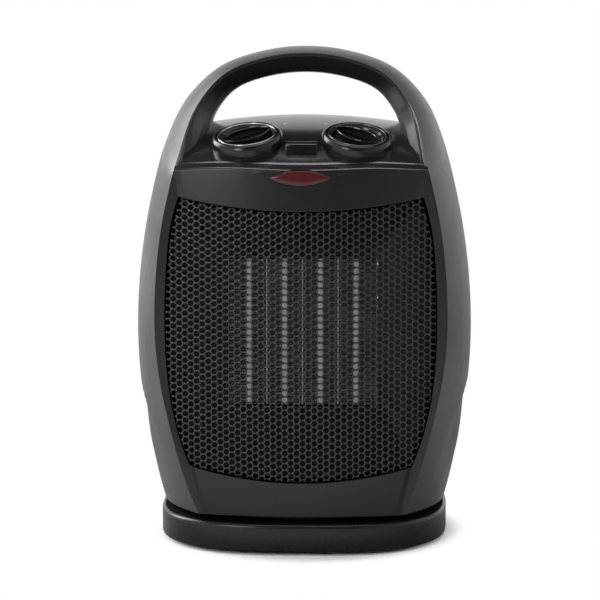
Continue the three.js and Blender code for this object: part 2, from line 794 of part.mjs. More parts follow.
// Frame of a knob: a point on the dome, and the turn that carries +Z to the dome's normal.
function knobFrame(sx) {
  const x = sx * KNOB.x,
    y = KNOB.y,
    n = new THREE.Vector3(
      (2 * x) / DOME.rx,
      (2 * (y - DOME.y)) / DOME.ry,
      1,
    ).normalize();
  return [
    new THREE.Vector3(x, y, domeZ(x, y)),
    new THREE.Quaternion().setFromUnitVectors(new THREE.Vector3(0, 0, 1), n),
  ];
}
function placeSolid(s, o, q) {
  const m = new THREE.Matrix4().compose(o, q, new THREE.Vector3(1, 1, 1));
  return s.transform(m.toArray());
}
function placed(name, geometry, material, o, q) {
  const mesh = add(name, geometry, material);
  mesh.position.copy(o);
  mesh.quaternion.copy(q);
  return mesh;
}
for (const [sx, side, what] of [
  [-1, "left", "thermostat"],
  [1, "right", "selector"],
]) {
  const [o, q] = knobFrame(sx);
  // collar that stands on the panel round the knob
  const collar = placeSolid(
    turnedSolid(
      [
        [KNOB.bore, -2.5],
        [KNOB.bezel, -2.5],
        [KNOB.bezel, KNOB.h - 1.0],
        [KNOB.bezel - 0.6, KNOB.h - 0.2],
        [KNOB.bezel - 1.4, KNOB.h],
        [KNOB.bore, KNOB.h],
        [KNOB.bore, -2.5],
      ],
      36,
    ),
    o,
    q,
  ).subtract(underDome(GAP));
  add(side + "_knob_collar", collar, "gloss_black");
  // knob: a shallow dish with a pointed-oval grip across it
  const turn = sx < 0 ? Math.PI * (31 / 180) : Math.PI * (144 / 180);
  const grip = vesica(14.6, 6.6, 8).map(([x, y]) => [
    x * Math.cos(turn) - y * Math.sin(turn),
    x * Math.sin(turn) + y * Math.cos(turn),
  ]);
  const knob = turnedSolid(
    [
      [0, 1.0],
      [KNOB.r, 1.0],
      [KNOB.r, 5.6],
      [KNOB.r - 0.5, 6.0],
      [13.9, 6.0],
      [13.1, 3.4],
      [0, 3.0],
    ],
    34,
  )
    .add(solid(plateXY(shape(grip), 2, 4.2)))
    .subtract(solid(rod(3.3, 3.9, 0, 0, 0.5, 18)));
  placed(what + "_knob", geometryOf(knob), "gloss_black", o, q);
  placed(
    what + "_shaft",
    geometryOf(
      turnedSolid(
        [
          [0, -16.5],
          [3, -16.5],
          [3, 3.6],
          [2.6, 4.0],
          [0, 4.0],
        ],
        18,
      ),
    ),
    "steel",
    o,
    q,
  );
}
{
  // thermostat: ceramic body on a plate, with a bush round the shaft
  const [o, q] = knobFrame(-1);
  const t = solid(box(26, 20, 9, 0, 0, -16))
    .add(turnedSolid([[0, -9], [5.2, -9], [5.2, -3.2], [0, -3.2]], 20))
    .add(solid(box(30, 9, 1.4, 0, 0, -7.4)))
    .add(solid(box(6.3, 0.8, 7, 7, 6, -22.6)))
    .add(solid(box(6.3, 0.8, 7, -7, 6, -22.6)))
    .subtract(solid(rod(3.3, 26, 0, 0, -16.9, 18)));
  placed("thermostat_body", geometryOf(t), "ceramic", o, q);
  const [o2, q2] = knobFrame(1);
  const s = turnedSolid([[0, -16.9], [14.5, -16.9], [15, -16.4], [15, -5.4], [5.2, -5.4], [5.2, -3.2], [0, -3.2]], 28)
    .add(solid(box(0.8, 6.3, 7, 9, 0, -23.4)))
    .add(solid(box(0.8, 6.3, 7, -9, 0, -23.4)))
    .add(solid(box(6.3, 0.8, 7, 0, 9, -23.4)))
    .subtract(solid(rod(3.3, 26, 0, 0, -16.8 + 0.0, 18)));
  placed("selector_switch", geometryOf(s), "switch_body", o2, q2);

  // swing button: a wedge with a level top, guided in the panel, on a latching switch
  const top = 210.1,
    yb = -37.2,
    yf = -55.2,
    w = 8.3;
  const side = shape([
    [yf, 199.5],
    [yb, 199.5],
    [yb, top - 0.1],
    [yb - 1.2, top + 0.15],
    [yf + 1.2, top + 0.05],
    [yf + 0.3, top - 0.5],
    [yf, top - 1.4],
  ]);
  const wedge = solid(
    new THREE.ExtrudeGeometry(side, { depth: 2 * w, bevelEnabled: false })
      .rotateX(Math.PI / 2)
      .rotateZ(Math.PI / 2)
      .translate(-w, 0, 0),
  );
  const wb = wedge.boundingBox();
  const shifted = wedge.translate([-(wb.min[0] + wb.max[0]) / 2, 0, 0]);
  add(
    "swing_button",
    shifted
      .subtract(solid(box(2 * w - 3, yb - yf - 3, 8, 0, (yf + yb) / 2, 198)))
      .add(solid(rod(2, 12, 0, -46, 195.5, 14))),
    "gloss_black",
  );
  add(
    "swing_switch",
    solid(box(12, 13, 11, 0, -46, 181.0))
      .add(solid(box(4.8, 0.8, 6, 0, -49.5, 175.5)))
      .add(solid(box(4.8, 0.8, 6, 0, -42.5, 175.5))),
    "switch_body",
  );
}

// ---------------------------------------------------------------- rear cover
{
  const R = 48;
  let cover = rearLid(0, 0, 12, 16);
  // intake: level slots inside a circle
  for (let i = -5; i <= 5; i++) {
    const z = 108 + i * 8.2,
      half = Math.sqrt(R * R - (i * 8.2) ** 2) - 1.5;
    cover = cover.subtract(solid(box(2 * half, 40, 4.2, 0, 70, z - 2.1)));
  }
  for (const [x, z] of [[52, 176], [-52, 176], [50, 38], [-50, 38]])
    cover = cover.subtract(
      solid(new THREE.CylinderGeometry(1.8, 1.8, 60, 14).translate(x, 60, z)),
    );
  cover = cover.decompose().sort((a, b) => b.volume() - a.volume())[0];
  add("rear_cover", cover, "face_black");
  [[52, 176], [-52, 176], [50, 38], [-50, 38]].forEach(([x, z], i) => {
    const y = rearY(x, z);
    add(
      "rear_screw_" + (i + 1),
      geometryOf(
        turnedSolid(
          [
            [0, -9],
            [0.6, -9],
            [1.35, -7.6],
            [1.35, 1.3],
            [3.1, 1.3],
            [3.1, 2.0],
            [2.4, 2.8],
            [0, 2.8],
          ],
          10,
        ),
      )
        .rotateX(-Math.PI / 2)
        .translate(x, y, z),
      "steel",
    );
  });
}

// ---------------------------------------------------------------- floor of the body and the swing drive
{
  const ring = (z, off) => {
    const q = station(0),
      p = [];
    const push = (x, y) => p.push(new THREE.Vector3(x, y, z));
    for (let i = 0; i < 12; i++) {
      const x = lerp(-(q.x - q.df), q.x - q.df, i / 12);
      push(x, faceY(x, 20));
    }
    for (let i = 0; i < 12; i++) {
      const v = i / 12;
      push(q.x - bandInset(q, v), lerp(q.yf, q.yr, v));
    }
    for (let i = 0; i < 12; i++) {
      const x = lerp(q.x - q.dr, -(q.x - q.dr), i / 12);
      push(x, rearY(x, 20));
    }
    for (let i = 0; i < 12; i++) {
      const v = 1 - i / 12;
      push(-(q.x - bandInset(q, v)), lerp(q.yf, q.yr, v));
    }
    // move each point inwards along the ring's normal
    return p.map((c, i) => {
      const a = p[(i + p.length - 1) % p.length],
        b = p[(i + 1) % p.length],
        t = b.clone().sub(a).normalize();
      return new THREE.Vector3(c.x - t.y * off, c.y + t.x * off, z);
    });
  };
  let floor = solid(stack([ring(18.7, 4.4), ring(21.0, 4.4)]))
    .add(turnedSolid([[0, 10.6], [8, 10.6], [8, 19.5], [0, 19.5]], 32))
    .subtract(solid(rod(5.2, 20, 0, 0, 5, 24)))
    .subtract(solid(rod(3.6, 10, 0, CRANK.y, 15, 20)));
  add("floor_plate", floor, "face_black");
  add(
    "pivot_retainer",
    turnedSolid(
      [
        [5.4, 8.4],
        [12.5, 8.4],
        [12.5, 12.9],
        [8.5, 12.9],
        [8.5, 10.3],
        [5.4, 10.3],
        [5.4, 8.4],
      ],
      32,
    ),
    "nylon",
  );
  const arm = (r1, r2, l) => {
    const p = [];
    for (let i = 0; i <= 12; i++) {
      const t = lerp(0, Math.PI, i / 12);
      p.push([r2 * Math.cos(t), l + r2 * Math.sin(t)]);
    }
    for (let i = 0; i <= 12; i++) {
      const t = lerp(Math.PI, 2 * Math.PI, i / 12);
      p.push([r1 * Math.cos(t), r1 * Math.sin(t)]);
    }
    return p;
  };
  add(
    "swing_crank",
    solid(plateXY(shape(arm(6, 4, CRANK.r)), 16.3, 1.9))
      .add(solid(rod(CRANK.pin, 4.4, 0, CRANK.r, 12.4, 18)))
      .add(solid(rod(2.8, 4.6, 0, 0, 17.4, 18)))
      .translate([0, CRANK.y, 0]),
    "steel",
  );
  add(
    "swing_motor",
    turnedSolid(
      [
        [0, 22.4],
        [24, 22.4],
        [24.5, 22.9],
        [24.5, 36.2],
        [23.6, 37],
        [0, 37],
      ],
      36,
    )
      .translate([0, CRANK.y, 0])
      .add(solid(box(66, 7, 1.2, 0, CRANK.y, 22.4)))
      .subtract(solid(rod(2, 6, 30, CRANK.y, 20, 12)))
      .subtract(solid(rod(2, 6, -30, CRANK.y, 20, 12))),
    "steel",
  );
}

// ---------------------------------------------------------------- heating element
{
  const { z, half, front, back } = CORE,
    o = half + 6;
  const frame = shape([[-o, z - o - 1], [o, z - o - 1], [o, z + o + 1], [-o, z + o + 1]]);
  frame.holes.push(
    new THREE.Path(
      [[-half - 0.6, z - half - 0.6], [-half - 0.6, z + half + 0.6], [half + 0.6, z + half + 0.6], [half + 0.6, z - half - 0.6]].map(
        ([x, y]) => new THREE.Vector2(x, y),
      ),
    ),
  );
  add("heater_frame", solid(plateXZ(frame, front - 1.5, back - front + 3)), "heat_plastic");
  const bars = [-27.75, -9.25, 9.25, 27.75],
    bw = 1.35;
  bars.forEach((x, i) =>
    add("ptc_bar_" + (i + 1), box(2 * bw, back - front - 4, 2 * half - 0.6, x, (front + back) / 2 - 1, z - half + 0.3), "ceramic"),
  );
  // corrugated fins: a spine with teeth, between neighbouring bars
  const edges = [-half - 0.2, ...bars, half + 0.2];
  for (let k = 0; k < 5; k++) {
    const x0 = edges[k] + (k === 0 ? 0.3 : bw + GAP),
      x1 = edges[k + 1] - (k === 4 ? 0.3 : bw + GAP),
      xm = (x0 + x1) / 2,
      s = 0.5,
      n = 8,
      lo = z - half + 0.3,
      hi = z + half - 0.3,
      pitch = (hi - lo) / n,
      right = [],
      left = [];
    for (let i = 0; i < n; i++) {
      const a = lo + i * pitch + pitch * 0.32,
        b = lo + i * pitch + pitch * 0.68;
      right.push([xm + s, a], [x1, a], [x1, b], [xm + s, b]);
      left.unshift([xm - s, b], [x0, b], [x0, a], [xm - s, a]);
    }
    add(
      "fin_pack_" + (k + 1),
      plateXZ(shape([[xm - s, lo], [xm + s, lo], ...right, [xm + s, hi], [xm - s, hi], ...left]), front + 1, back - front - 4),
      "aluminium",
    );
  }
  // flared outlet duct from the element to the grille
  const n = 40;
  const square = (t) => {
    // point on the unit square's edge, t in 0..1
    const a = t * 4,
      k = Math.floor(a) % 4,
      f = a - Math.floor(a);
    return [
      [lerp(-1, 1, f), -1],
      [1, lerp(-1, 1, f)],
      [lerp(1, -1, f), 1],
      [-1, lerp(1, -1, f)],
    ][k];
  };
  const duct = (grow) => {
    const back = [],
      front = [];
    for (let i = 0; i < n; i++) {
      const [a, b] = square(i / n),
        x1 = a * (half + 1.2 + grow),
        z1 = z + b * (half + 1.2 + grow),
        [ox, oz] = opening(a, (b + 1) / 2, -3.2 + grow * 0.8);
      back.push(new THREE.Vector3(x1, CORE.front - 1.8, z1));
      front.push(new THREE.Vector3(ox, faceY(ox, oz) + 4.4, oz));
    }
    return [back, front];
  };
  const [bi, fi] = duct(0),
    [bo, fo] = duct(1.8);
  // one closed wall: outer ring strip, front rim, inner ring strip, back rim
  const loops = [bo, fo, fi, bi],
    pts = loops.flat(),
    faces = [];
  for (let l = 0; l < 4; l++)
    for (let i = 0; i < n; i++) {
      const a = l * n + i,
        b = l * n + ((i + 1) % n),
        c = ((l + 1) % 4) * n + ((i + 1) % n),
        d = ((l + 1) % 4) * n + i;
      faces.push([a, b, c], [a, c, d]);
    }
  add("outlet_duct", closed(pts, faces), "heat_plastic");
  // thermal cut-out disc on a bracket above the element
  add(
    "thermal_cutout",
    geometryOf(turnedSolid([[0, 0], [8, 0], [8, 4.5], [6.2, 4.5], [6.2, 8.5], [0, 8.5]], 24))
      .rotateX(-Math.PI / 2)
      .translate(18, back + 2.2, z + half + 3.4 - 9),
    "ceramic",
  );
}

// ---------------------------------------------------------------- fan and its motor
{
  const { z, y0, r } = FAN;
  // square-to-round housing behind the element
  const plate = shape([[-56, z - 56], [56, z - 56], [56, z + 56], [-56, z + 56]]);
  const hole = new THREE.Path();
  hole.absarc(0, z, r + 2.2, 0, 2 * Math.PI, false);
  plate.holes.push(hole);
  const ringShape = new THREE.Shape();
  ringShape.absarc(0, z, r + 4.2, 0, 2 * Math.PI, false);
  const ringHole = new THREE.Path();
  ringHole.absarc(0, z, r + 2.2, 0, 2 * Math.PI, true);
  ringShape.holes.push(ringHole);
  let housing = solid(
    new THREE.ExtrudeGeometry(plate, { depth: 2, bevelEnabled: false, curveSegments: 20 })
      .rotateX(Math.PI / 2)
      .translate(0, y0 - 5, 0),
  ).add(
    solid(
      new THREE.ExtrudeGeometry(ringShape, { depth: 24, bevelEnabled: false, curveSegments: 20 })
        .rotateX(Math.PI / 2)
        .translate(0, y0 - 5 + 22, 0),
    ),
  );
  // motor carrier: a cross bar on two posts behind the fan
  housing = housing
    .add(solid(box(5, 22, 10, 54.5, y0 + 8, z - 5)))
    .add(solid(box(5, 22, 10, -54.5, y0 + 8, z - 5)));
  add("fan_housing", housing, "heat_plastic");
  add(
    "motor_bracket",
    solid(box(116, 1.6, 12, 0, y0 + 20.4, z - 6))
      .add(solid(new THREE.CylinderGeometry(9, 9, 1.6, 24).translate(0, y0 + 20.4, z)))
      .subtract(solid(new THREE.CylinderGeometry(4.2, 4.2, 10, 20).translate(0, y0 + 20, z))),
    "steel",
  );
  add(
    "motor_rear_bearing",
    solid(box(50, 1.6, 10, 0, y0 + 40.4, z - 5))
      .add(solid(new THREE.CylinderGeometry(7.5, 7.5, 3.2, 24).translate(0, y0 + 41.2, z)))
      .subtract(solid(new THREE.CylinderGeometry(2.5, 2.5, 10, 18).translate(0, y0 + 41, z))),
    "steel",
  );
  // shaded-pole motor: laminated frame with the coil round its lower limb
  const lam = shape([[-25, z - 34], [25, z - 34], [25, z + 18], [-25, z + 18]]);
  const window1 = new THREE.Path(
    [[-15, z - 26], [-15, z - 17], [15, z - 17], [15, z - 26]].map(([x, y]) => new THREE.Vector2(x, y)),
  );
  const bore = new THREE.Path();
  bore.absarc(0, z, 12.4, 0, 2 * Math.PI, true);
  lam.holes.push(window1, bore);
  const stator = solid(
    new THREE.ExtrudeGeometry(lam, { depth: 14, bevelEnabled: false, curveSegments: 14 })
      .rotateX(Math.PI / 2)
      .translate(0, y0 + 23.4 + 14, 0),
  );
  add("motor_stator", stator, "laminate");
  // coil wraps the limb under the window: a box with the limb's section taken out
  const coil = solid(box(27.4, 25, 17.4, 0, y0 + 23.4 + 7, z - 34 - 4.4 - 4)).subtract(
    solid(box(60, 14.6, 8.6, 0, y0 + 23.4 + 7, z - 34 - 0.3)),
  );
  const coilTrim = coil.subtract(solid(box(60, 40, 10, 0, y0 + 30, z - 25.2 - 0.0)));
  add("motor_coil", coilTrim.decompose().sort((a, b) => b.volume() - a.volume())[0], "copper");
  // impeller: hub with seven pitched blades
  let fan = solid(new THREE.CylinderGeometry(14, 14, 14, 32).translate(0, y0 + 8, z)).subtract(
    solid(new THREE.CylinderGeometry(11.8, 11.8, 12, 32).translate(0, y0 + 11, z)),
  );
  for (let i = 0; i < 7; i++) {
    const m = new THREE.Matrix4()
      .makeTranslation(0, y0 + 8, z)
      .multiply(new THREE.Matrix4().makeRotationY((i / 7) * 2 * Math.PI));
    const blade = wall(
      4,
      2,
      (a, b) => {
        const rr = lerp(12.6, r - 1, a),
          half = lerp(8, 17, a),
          t = lerp(-1, 1, b),
          pitch = lerp(0.75, 0.42, a);
        return new THREE.Vector3(t * half * Math.cos(pitch), t * half * Math.sin(pitch) * 0.72 - 0.7 - 1.2 * (1 - t * t), Math.sqrt(rr * rr - (t * half * Math.cos(pitch)) ** 2 * 0.55));
      },
      (a, b) => {
        const rr = lerp(12.6, r - 1, a),
          half = lerp(8, 17, a),
          t = lerp(-1, 1, b),
          pitch = lerp(0.75, 0.42, a);
        return new THREE.Vector3(t * half * Math.cos(pitch), t * half * Math.sin(pitch) * 0.72 + 0.7 - 1.2 * (1 - t * t), Math.sqrt(rr * rr - (t * half * Math.cos(pitch)) ** 2 * 0.55));
      },
    ).applyMatrix4(m);
    fan = fan.add(solid(blade));
  }
  fan = fan.subtract(solid(new THREE.CylinderGeometry(2.3, 2.3, 60, 16).translate(0, y0 + 8, z)));
  add("fan_impeller", fan, "heat_plastic");
  add(
    "motor_shaft",
    solid(new THREE.CylinderGeometry(2, 2, 44, 16).translate(0, y0 + 22, z)),
    "steel",
  );
  add(
    "motor_rotor",
    solid(new THREE.CylinderGeometry(11.9, 11.9, 15, 28).translate(0, y0 + 23.4 + 7, z)).subtract(
      solid(new THREE.CylinderGeometry(2.3, 2.3, 40, 16).translate(0, y0 + 23, z)),
    ),
    "laminate",
  );
}

export default heater;
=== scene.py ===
import bpy, bmesh, json, math
import numpy as np
from mathutils import Vector, Matrix, Quaternion


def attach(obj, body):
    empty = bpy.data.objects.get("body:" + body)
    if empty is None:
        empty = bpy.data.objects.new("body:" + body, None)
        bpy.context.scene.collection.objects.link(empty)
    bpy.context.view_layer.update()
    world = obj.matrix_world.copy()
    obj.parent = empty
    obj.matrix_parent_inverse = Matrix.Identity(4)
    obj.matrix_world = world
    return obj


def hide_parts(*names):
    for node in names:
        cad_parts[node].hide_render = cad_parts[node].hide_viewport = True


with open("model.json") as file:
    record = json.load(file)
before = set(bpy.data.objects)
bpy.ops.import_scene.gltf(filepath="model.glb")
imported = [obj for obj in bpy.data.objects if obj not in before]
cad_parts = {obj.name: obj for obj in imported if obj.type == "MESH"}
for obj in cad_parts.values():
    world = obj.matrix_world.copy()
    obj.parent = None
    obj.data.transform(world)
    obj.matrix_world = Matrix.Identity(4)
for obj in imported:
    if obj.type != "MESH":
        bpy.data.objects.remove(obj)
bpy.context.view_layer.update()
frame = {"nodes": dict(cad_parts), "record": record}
MM = 0.001

# ------------------------------------------------------------------ camera
AIM = Vector((-0.0026, 0.0, 0.1222))
DIST, ELEV, AZ = 1.600, math.radians(8.0), math.radians(2.2)
cam_data = bpy.data.cameras.new("camera")
cam_data.sensor_width = 36.0
cam_data.lens = 1.886 * 1600.0 / 600.0 * 36.0
cam_data.clip_end = 50.0
cam = bpy.data.objects.new("camera", cam_data)
bpy.context.scene.collection.objects.link(cam)
cam.location = AIM + DIST * Vector(
    (math.sin(AZ) * math.cos(ELEV), -math.cos(AZ) * math.cos(ELEV), math.sin(ELEV))
)
cam.rotation_euler = (AIM - cam.location).to_track_quat("-Z", "Y").to_euler()
bpy.context.scene.camera = cam

# ------------------------------------------------------------------ the heater's curves, in mm
STATIONS = np.array([
    [74.2, 19.0, 21.9, -60.1, 18.0, 55.6, 24, 2.4],
    [76.8, 28.7, 20.2, -60.2, 17.5, 55.6, 24, 2.4],
    [79.2, 39.4, 18.8, -60.2, 17.0, 55.5, 24, 2.4],
    [81.5, 50.2, 17.9, -60.3, 16.7, 55.4, 24, 2.4],
    [83.5, 61.0, 17.1, -60.3, 16.4, 55.2, 24, 2.4],
    [85.2, 71.8, 16.2, -60.1, 16.0, 55.0, 24, 2.4],
    [86.6, 82.5, 15.3, -59.8, 15.7, 54.8, 24, 2.4],
    [87.5, 93.5, 14.4, -59.5, 15.4, 54.5, 24, 2.4],
    [88.0, 108.5, 13.4, -59.1, 15.0, 54.2, 23.5, 2.4],
    [87.6, 125.4, 12.7, -58.7, 14.5, 53.8, 23, 2.4],
    [86.4, 141.4, 12.2, -58.3, 14.0, 53.2, 22.5, 2.4],
    [84.4, 157.3, 11.7, -57.9, 13.4, 52.5, 22, 2.4],
    [81.6, 173.2, 11.3, -57.3, 12.6, 51.5, 21.5, 2.4],
    [78.1, 189.0, 11.1, -56.4, 11.8, 50.4, 21, 2.2],
    [75.4, 199.5, 10.9, -54.2, 11.1, 49.5, 20.4, 1.9],
    [72.2, 209.5, 10.2, -42.8, 10.3, 48.2, 19.8, 1.5],
    [68.2, 219.6, 8.8, -28.6, 9.2, 46.4, 18.9, 1.2],
    [62.2, 229.7, 7.2, -16.2, 7.7, 44.4, 17.4, 1.0],
    [57.8, 234.8, 6.2, -10.4, 6.6, 43.3, 16.5, 0.9],
    [52.5, 239.9, 5.2, -5.2, 5.5, 42.4, 15.6, 0.8],
    [44.4, 245.6, 4.1, -0.6, 4.3, 41.7, 14.7, 0.8],
    [36.6, 249.1, 3.4, 1.2, 3.5, 41.3, 14.2, 0.8],
    [26.6, 252.1, 2.9, 2.2, 2.9, 41.1, 13.9, 0.8],
    [14.0, 254.6, 2.6, 2.6, 2.6, 41.0, 13.8, 0.8],
    [0.0, 255.5, 2.5, 2.7, 2.5, 41.0, 13.7, 0.8],
])
WALL, GAP, BODY_Z0, BASE_TOP, BASE_BOTTOM = 2.4, 0.3, 19.0, 15.7, 1.8
BASE_HALF_W, BASE_HALF_D, BASE_POWER = 75.3, 71.2, 2.8
DOME = dict(z=218.9, y=22.0, ry=394.0, rx=650.0, rear=3.0)
KNOB = dict(x=28.0, y=-38.5, r=15.9, bezel=18.5, bore=16.3, h=5.6)


def spline(t, y):
    t, y = np.asarray(t, float), np.asarray(y, float)
    n = len(t)
    m = np.zeros((n, n))
    r = np.zeros(n)
    m[0, 0] = m[-1, -1] = 1
    for i in range(1, n - 1):
        h0, h1 = t[i] - t[i - 1], t[i + 1] - t[i]
        m[i, i - 1], m[i, i], m[i, i + 1] = h0, 2 * (h0 + h1), h1
        r[i] = 6 * ((y[i + 1] - y[i]) / h1 - (y[i] - y[i - 1]) / h0)
    c = np.linalg.solve(m, r)

    def f(x):
        x = np.asarray(x, float)
        i = np.clip(np.searchsorted(t, x, side="left") - 1, 0, n - 2)
        h = t[i + 1] - t[i]
        a = (t[i + 1] - x) / h
        b = 1 - a
        return a * y[i] + b * y[i + 1] + ((a**3 - a) * c[i] + (b**3 - b) * c[i + 1]) * h * h / 6

    return f


_all = np.vstack([STATIONS, STATIONS[:-1][::-1] * np.array([-1] + [1] * 7)])
_t = np.concatenate([[0], np.cumsum(np.hypot(np.diff(_all[:, 0]), np.diff(_all[:, 1])))])
_u = _t / _t[len(STATIONS) - 1]
OUTLINE = [spline(_u, _all[:, k]) for k in range(8)]


def smooth(a, b, x):
    t = np.clip((x - a) / (b - a), 0, 1)
    return t * t * (3 - 2 * t)


def lerp(a, b, t):
    return a + (b - a) * t


class Q:
    pass


def station(s):
    q = Q()
    q.x, q.z, q.df, q.yf, q.dr, q.yr, q.di, q.te = [float(f(s)) for f in OUTLINE]
    e = 1e-3
    dx = float(OUTLINE[0](min(2, s + e)) - OUTLINE[0](max(0, s - e)))
    dz = float(OUTLINE[1](min(2, s + e)) - OUTLINE[1](max(0, s - e)))
    l = math.hypot(dx, dz)
    k = float(smooth(150, 215, q.z))
    side = 1 if s <= 1 else -1
    nx, nz = lerp(-side, -dz / l, k), lerp(0, dx / l, k)
    l = math.hypot(nx, nz)
    q.nx, q.nz = nx / l, nz / l
    return q


CROWN = 2.2


def band_inset(q, v):
    return (q.df if v < 0.5 else q.dr) * abs(2 * v - 1) ** CROWN


def band_wall(q, v):
    return lerp(WALL + 0.4, q.te, abs(2 * v - 1) ** 2)


def on_band(q, y, depth):
    return (q.x + q.nx * depth, y, q.z + q.nz * depth)


def face_y(x, z):
    return -72 + (z - 107) ** 2 / 1400 + x * x / 430


def rear_y(x, z):
    return 72 - (z - 100) ** 2 / 1150 - x * x / 300


def dome_z(x, y):
    k = np.where(np.asarray(y) > DOME["y"], DOME["rear"], 1.0)
    return DOME["z"] - (y - DOME["y"]) ** 2 / DOME["ry"] * k - x * x / DOME["rx"]


def seam_front(x):
    return -60.5 + x * x / 430


def seam_rear(x):
    return 51 - x * x / 300


def _edge(which, upto):
    zs, xs = [], []
    for i in range(61):
        q = station(i / 60 * upto)
        d = q.df if which == "front" else q.dr
        zs.append(q.z + q.nz * d)
        xs.append(q.x + q.nx * d)
    return spline(zs, xs)


edge_x = _edge("front", 0.82)
rear_edge_x = _edge("rear", 0.86)

# ------------------------------------------------------------------ mesh helpers
COL = bpy.context.scene.collection


def mesh_object(name, verts, faces, smooth_faces=True, sharp=None):
    me = bpy.data.meshes.new(name)
    me.from_pydata([tuple(c * MM for c in v) for v in verts], [], [tuple(f) for f in faces])
    me.validate()
    bm = bmesh.new()
    bm.from_mesh(me)
    bmesh.ops.remove_doubles(bm, verts=bm.verts, dist=2e-6)
    bmesh.ops.recalc_face_normals(bm, faces=bm.faces)
    for f in bm.faces:
        f.smooth = smooth_faces
    if sharp is not None:
        lim = math.radians(sharp)
        for e in bm.edges:
            if len(e.link_faces) == 2 and e.calc_face_angle(0) > lim:
                e.smooth = False
    bm.to_mesh(me)
    bm.free()
    ob = bpy.data.objects.new(name, me)
    COL.objects.link(ob)
    return ob


def grid_faces(nu, nv, off=0, close_u=False, close_v=False):
    w = nv if close_v else nv + 1
    f = []
    for i in range(nu):
        for j in range(nv):
            a = i * w + j
            b = ((i + 1) % nu if close_u else i + 1) * w + j
            jn = (j + 1) % w if close_v else j + 1
            f.append((off + i * w + j, off + b, off + (b - j) + jn, off + i * w + jn))
    return f


def loft(name, sections, closed=True, caps=True, sharp=35):
    """Sections are lists of points with equal counts; each section is a closed loop."""
    n = len(sections[0])
    v = [p for s in sections for p in s]
    f = []
    for i in range(len(sections) - 1):
        for j in range(n):
            a, b = i * n + j, i * n + (j + 1) % n
            f.append((a, b, b + n, a + n))
    if caps:
        f.append(tuple(range(n))[::-1])
        f.append(tuple(range((len(sections) - 1) * n, len(sections) * n)))
    return mesh_object(name, v, f, True, sharp)


def lathe(name, profile, n=96, closed=False, sharp=30):
    """profile of (r, z) turned about Z; points on the axis are merged."""
    v, f = [], []
    m = len(profile)
    for i in range(n):
        t = 2 * math.pi * i / n
        for r, z in profile:
            v.append((r * math.cos(t), r * math.sin(t), z))
    for i in range(n):
        for j in range(m if closed else m - 1):
            a, b = i * m + j, i * m + (j + 1) % m
            c, d = ((i + 1) % n) * m + (j + 1) % m, ((i + 1) % n) * m + j
            f.append((a, b, c, d))
    return mesh_object(name, v, f, True, sharp)


def rounded(points, radii, seg=5):
    """Closed 2D polygon with each corner rounded."""
    out = []
    n = len(points)
    for i, p in enumerate(points):
        r = radii[i] if hasattr(radii, "__len__") else radii
        p = np.array(p, float)
        a = np.array(points[i - 1], float) - p
        b = np.array(points[(i + 1) % n], float) - p
        la, lb = np.linalg.norm(a), np.linalg.norm(b)
        if r <= 0 or la < 1e-6 or lb < 1e-6:
            out.append(tuple(p))
            continue
        a, b = a / la, b / lb
        cos = np.clip(a @ b, -1, 1)
        if cos < -0.995:
            out.append(tuple(p))
            continue
        half = math.acos(cos) / 2
        d = min(r / math.tan(half), 0.45 * la, 0.45 * lb)
        p0, p1 = p + a * d, p + b * d
        for k in range(seg + 1):
            t = k / seg
            out.append(tuple((1 - t) ** 2 * p0 + 2 * t * (1 - t) * p + t * t * p1))
    return out


def place(ob, matrix):
    ob.data.transform(matrix)
    return ob


def finish_piece(ob, body, material, nodes=()):
    ob.data.materials.clear()
    ob.data.materials.append(material)
    if nodes:
        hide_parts(*nodes)
    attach(ob, body)
    return ob


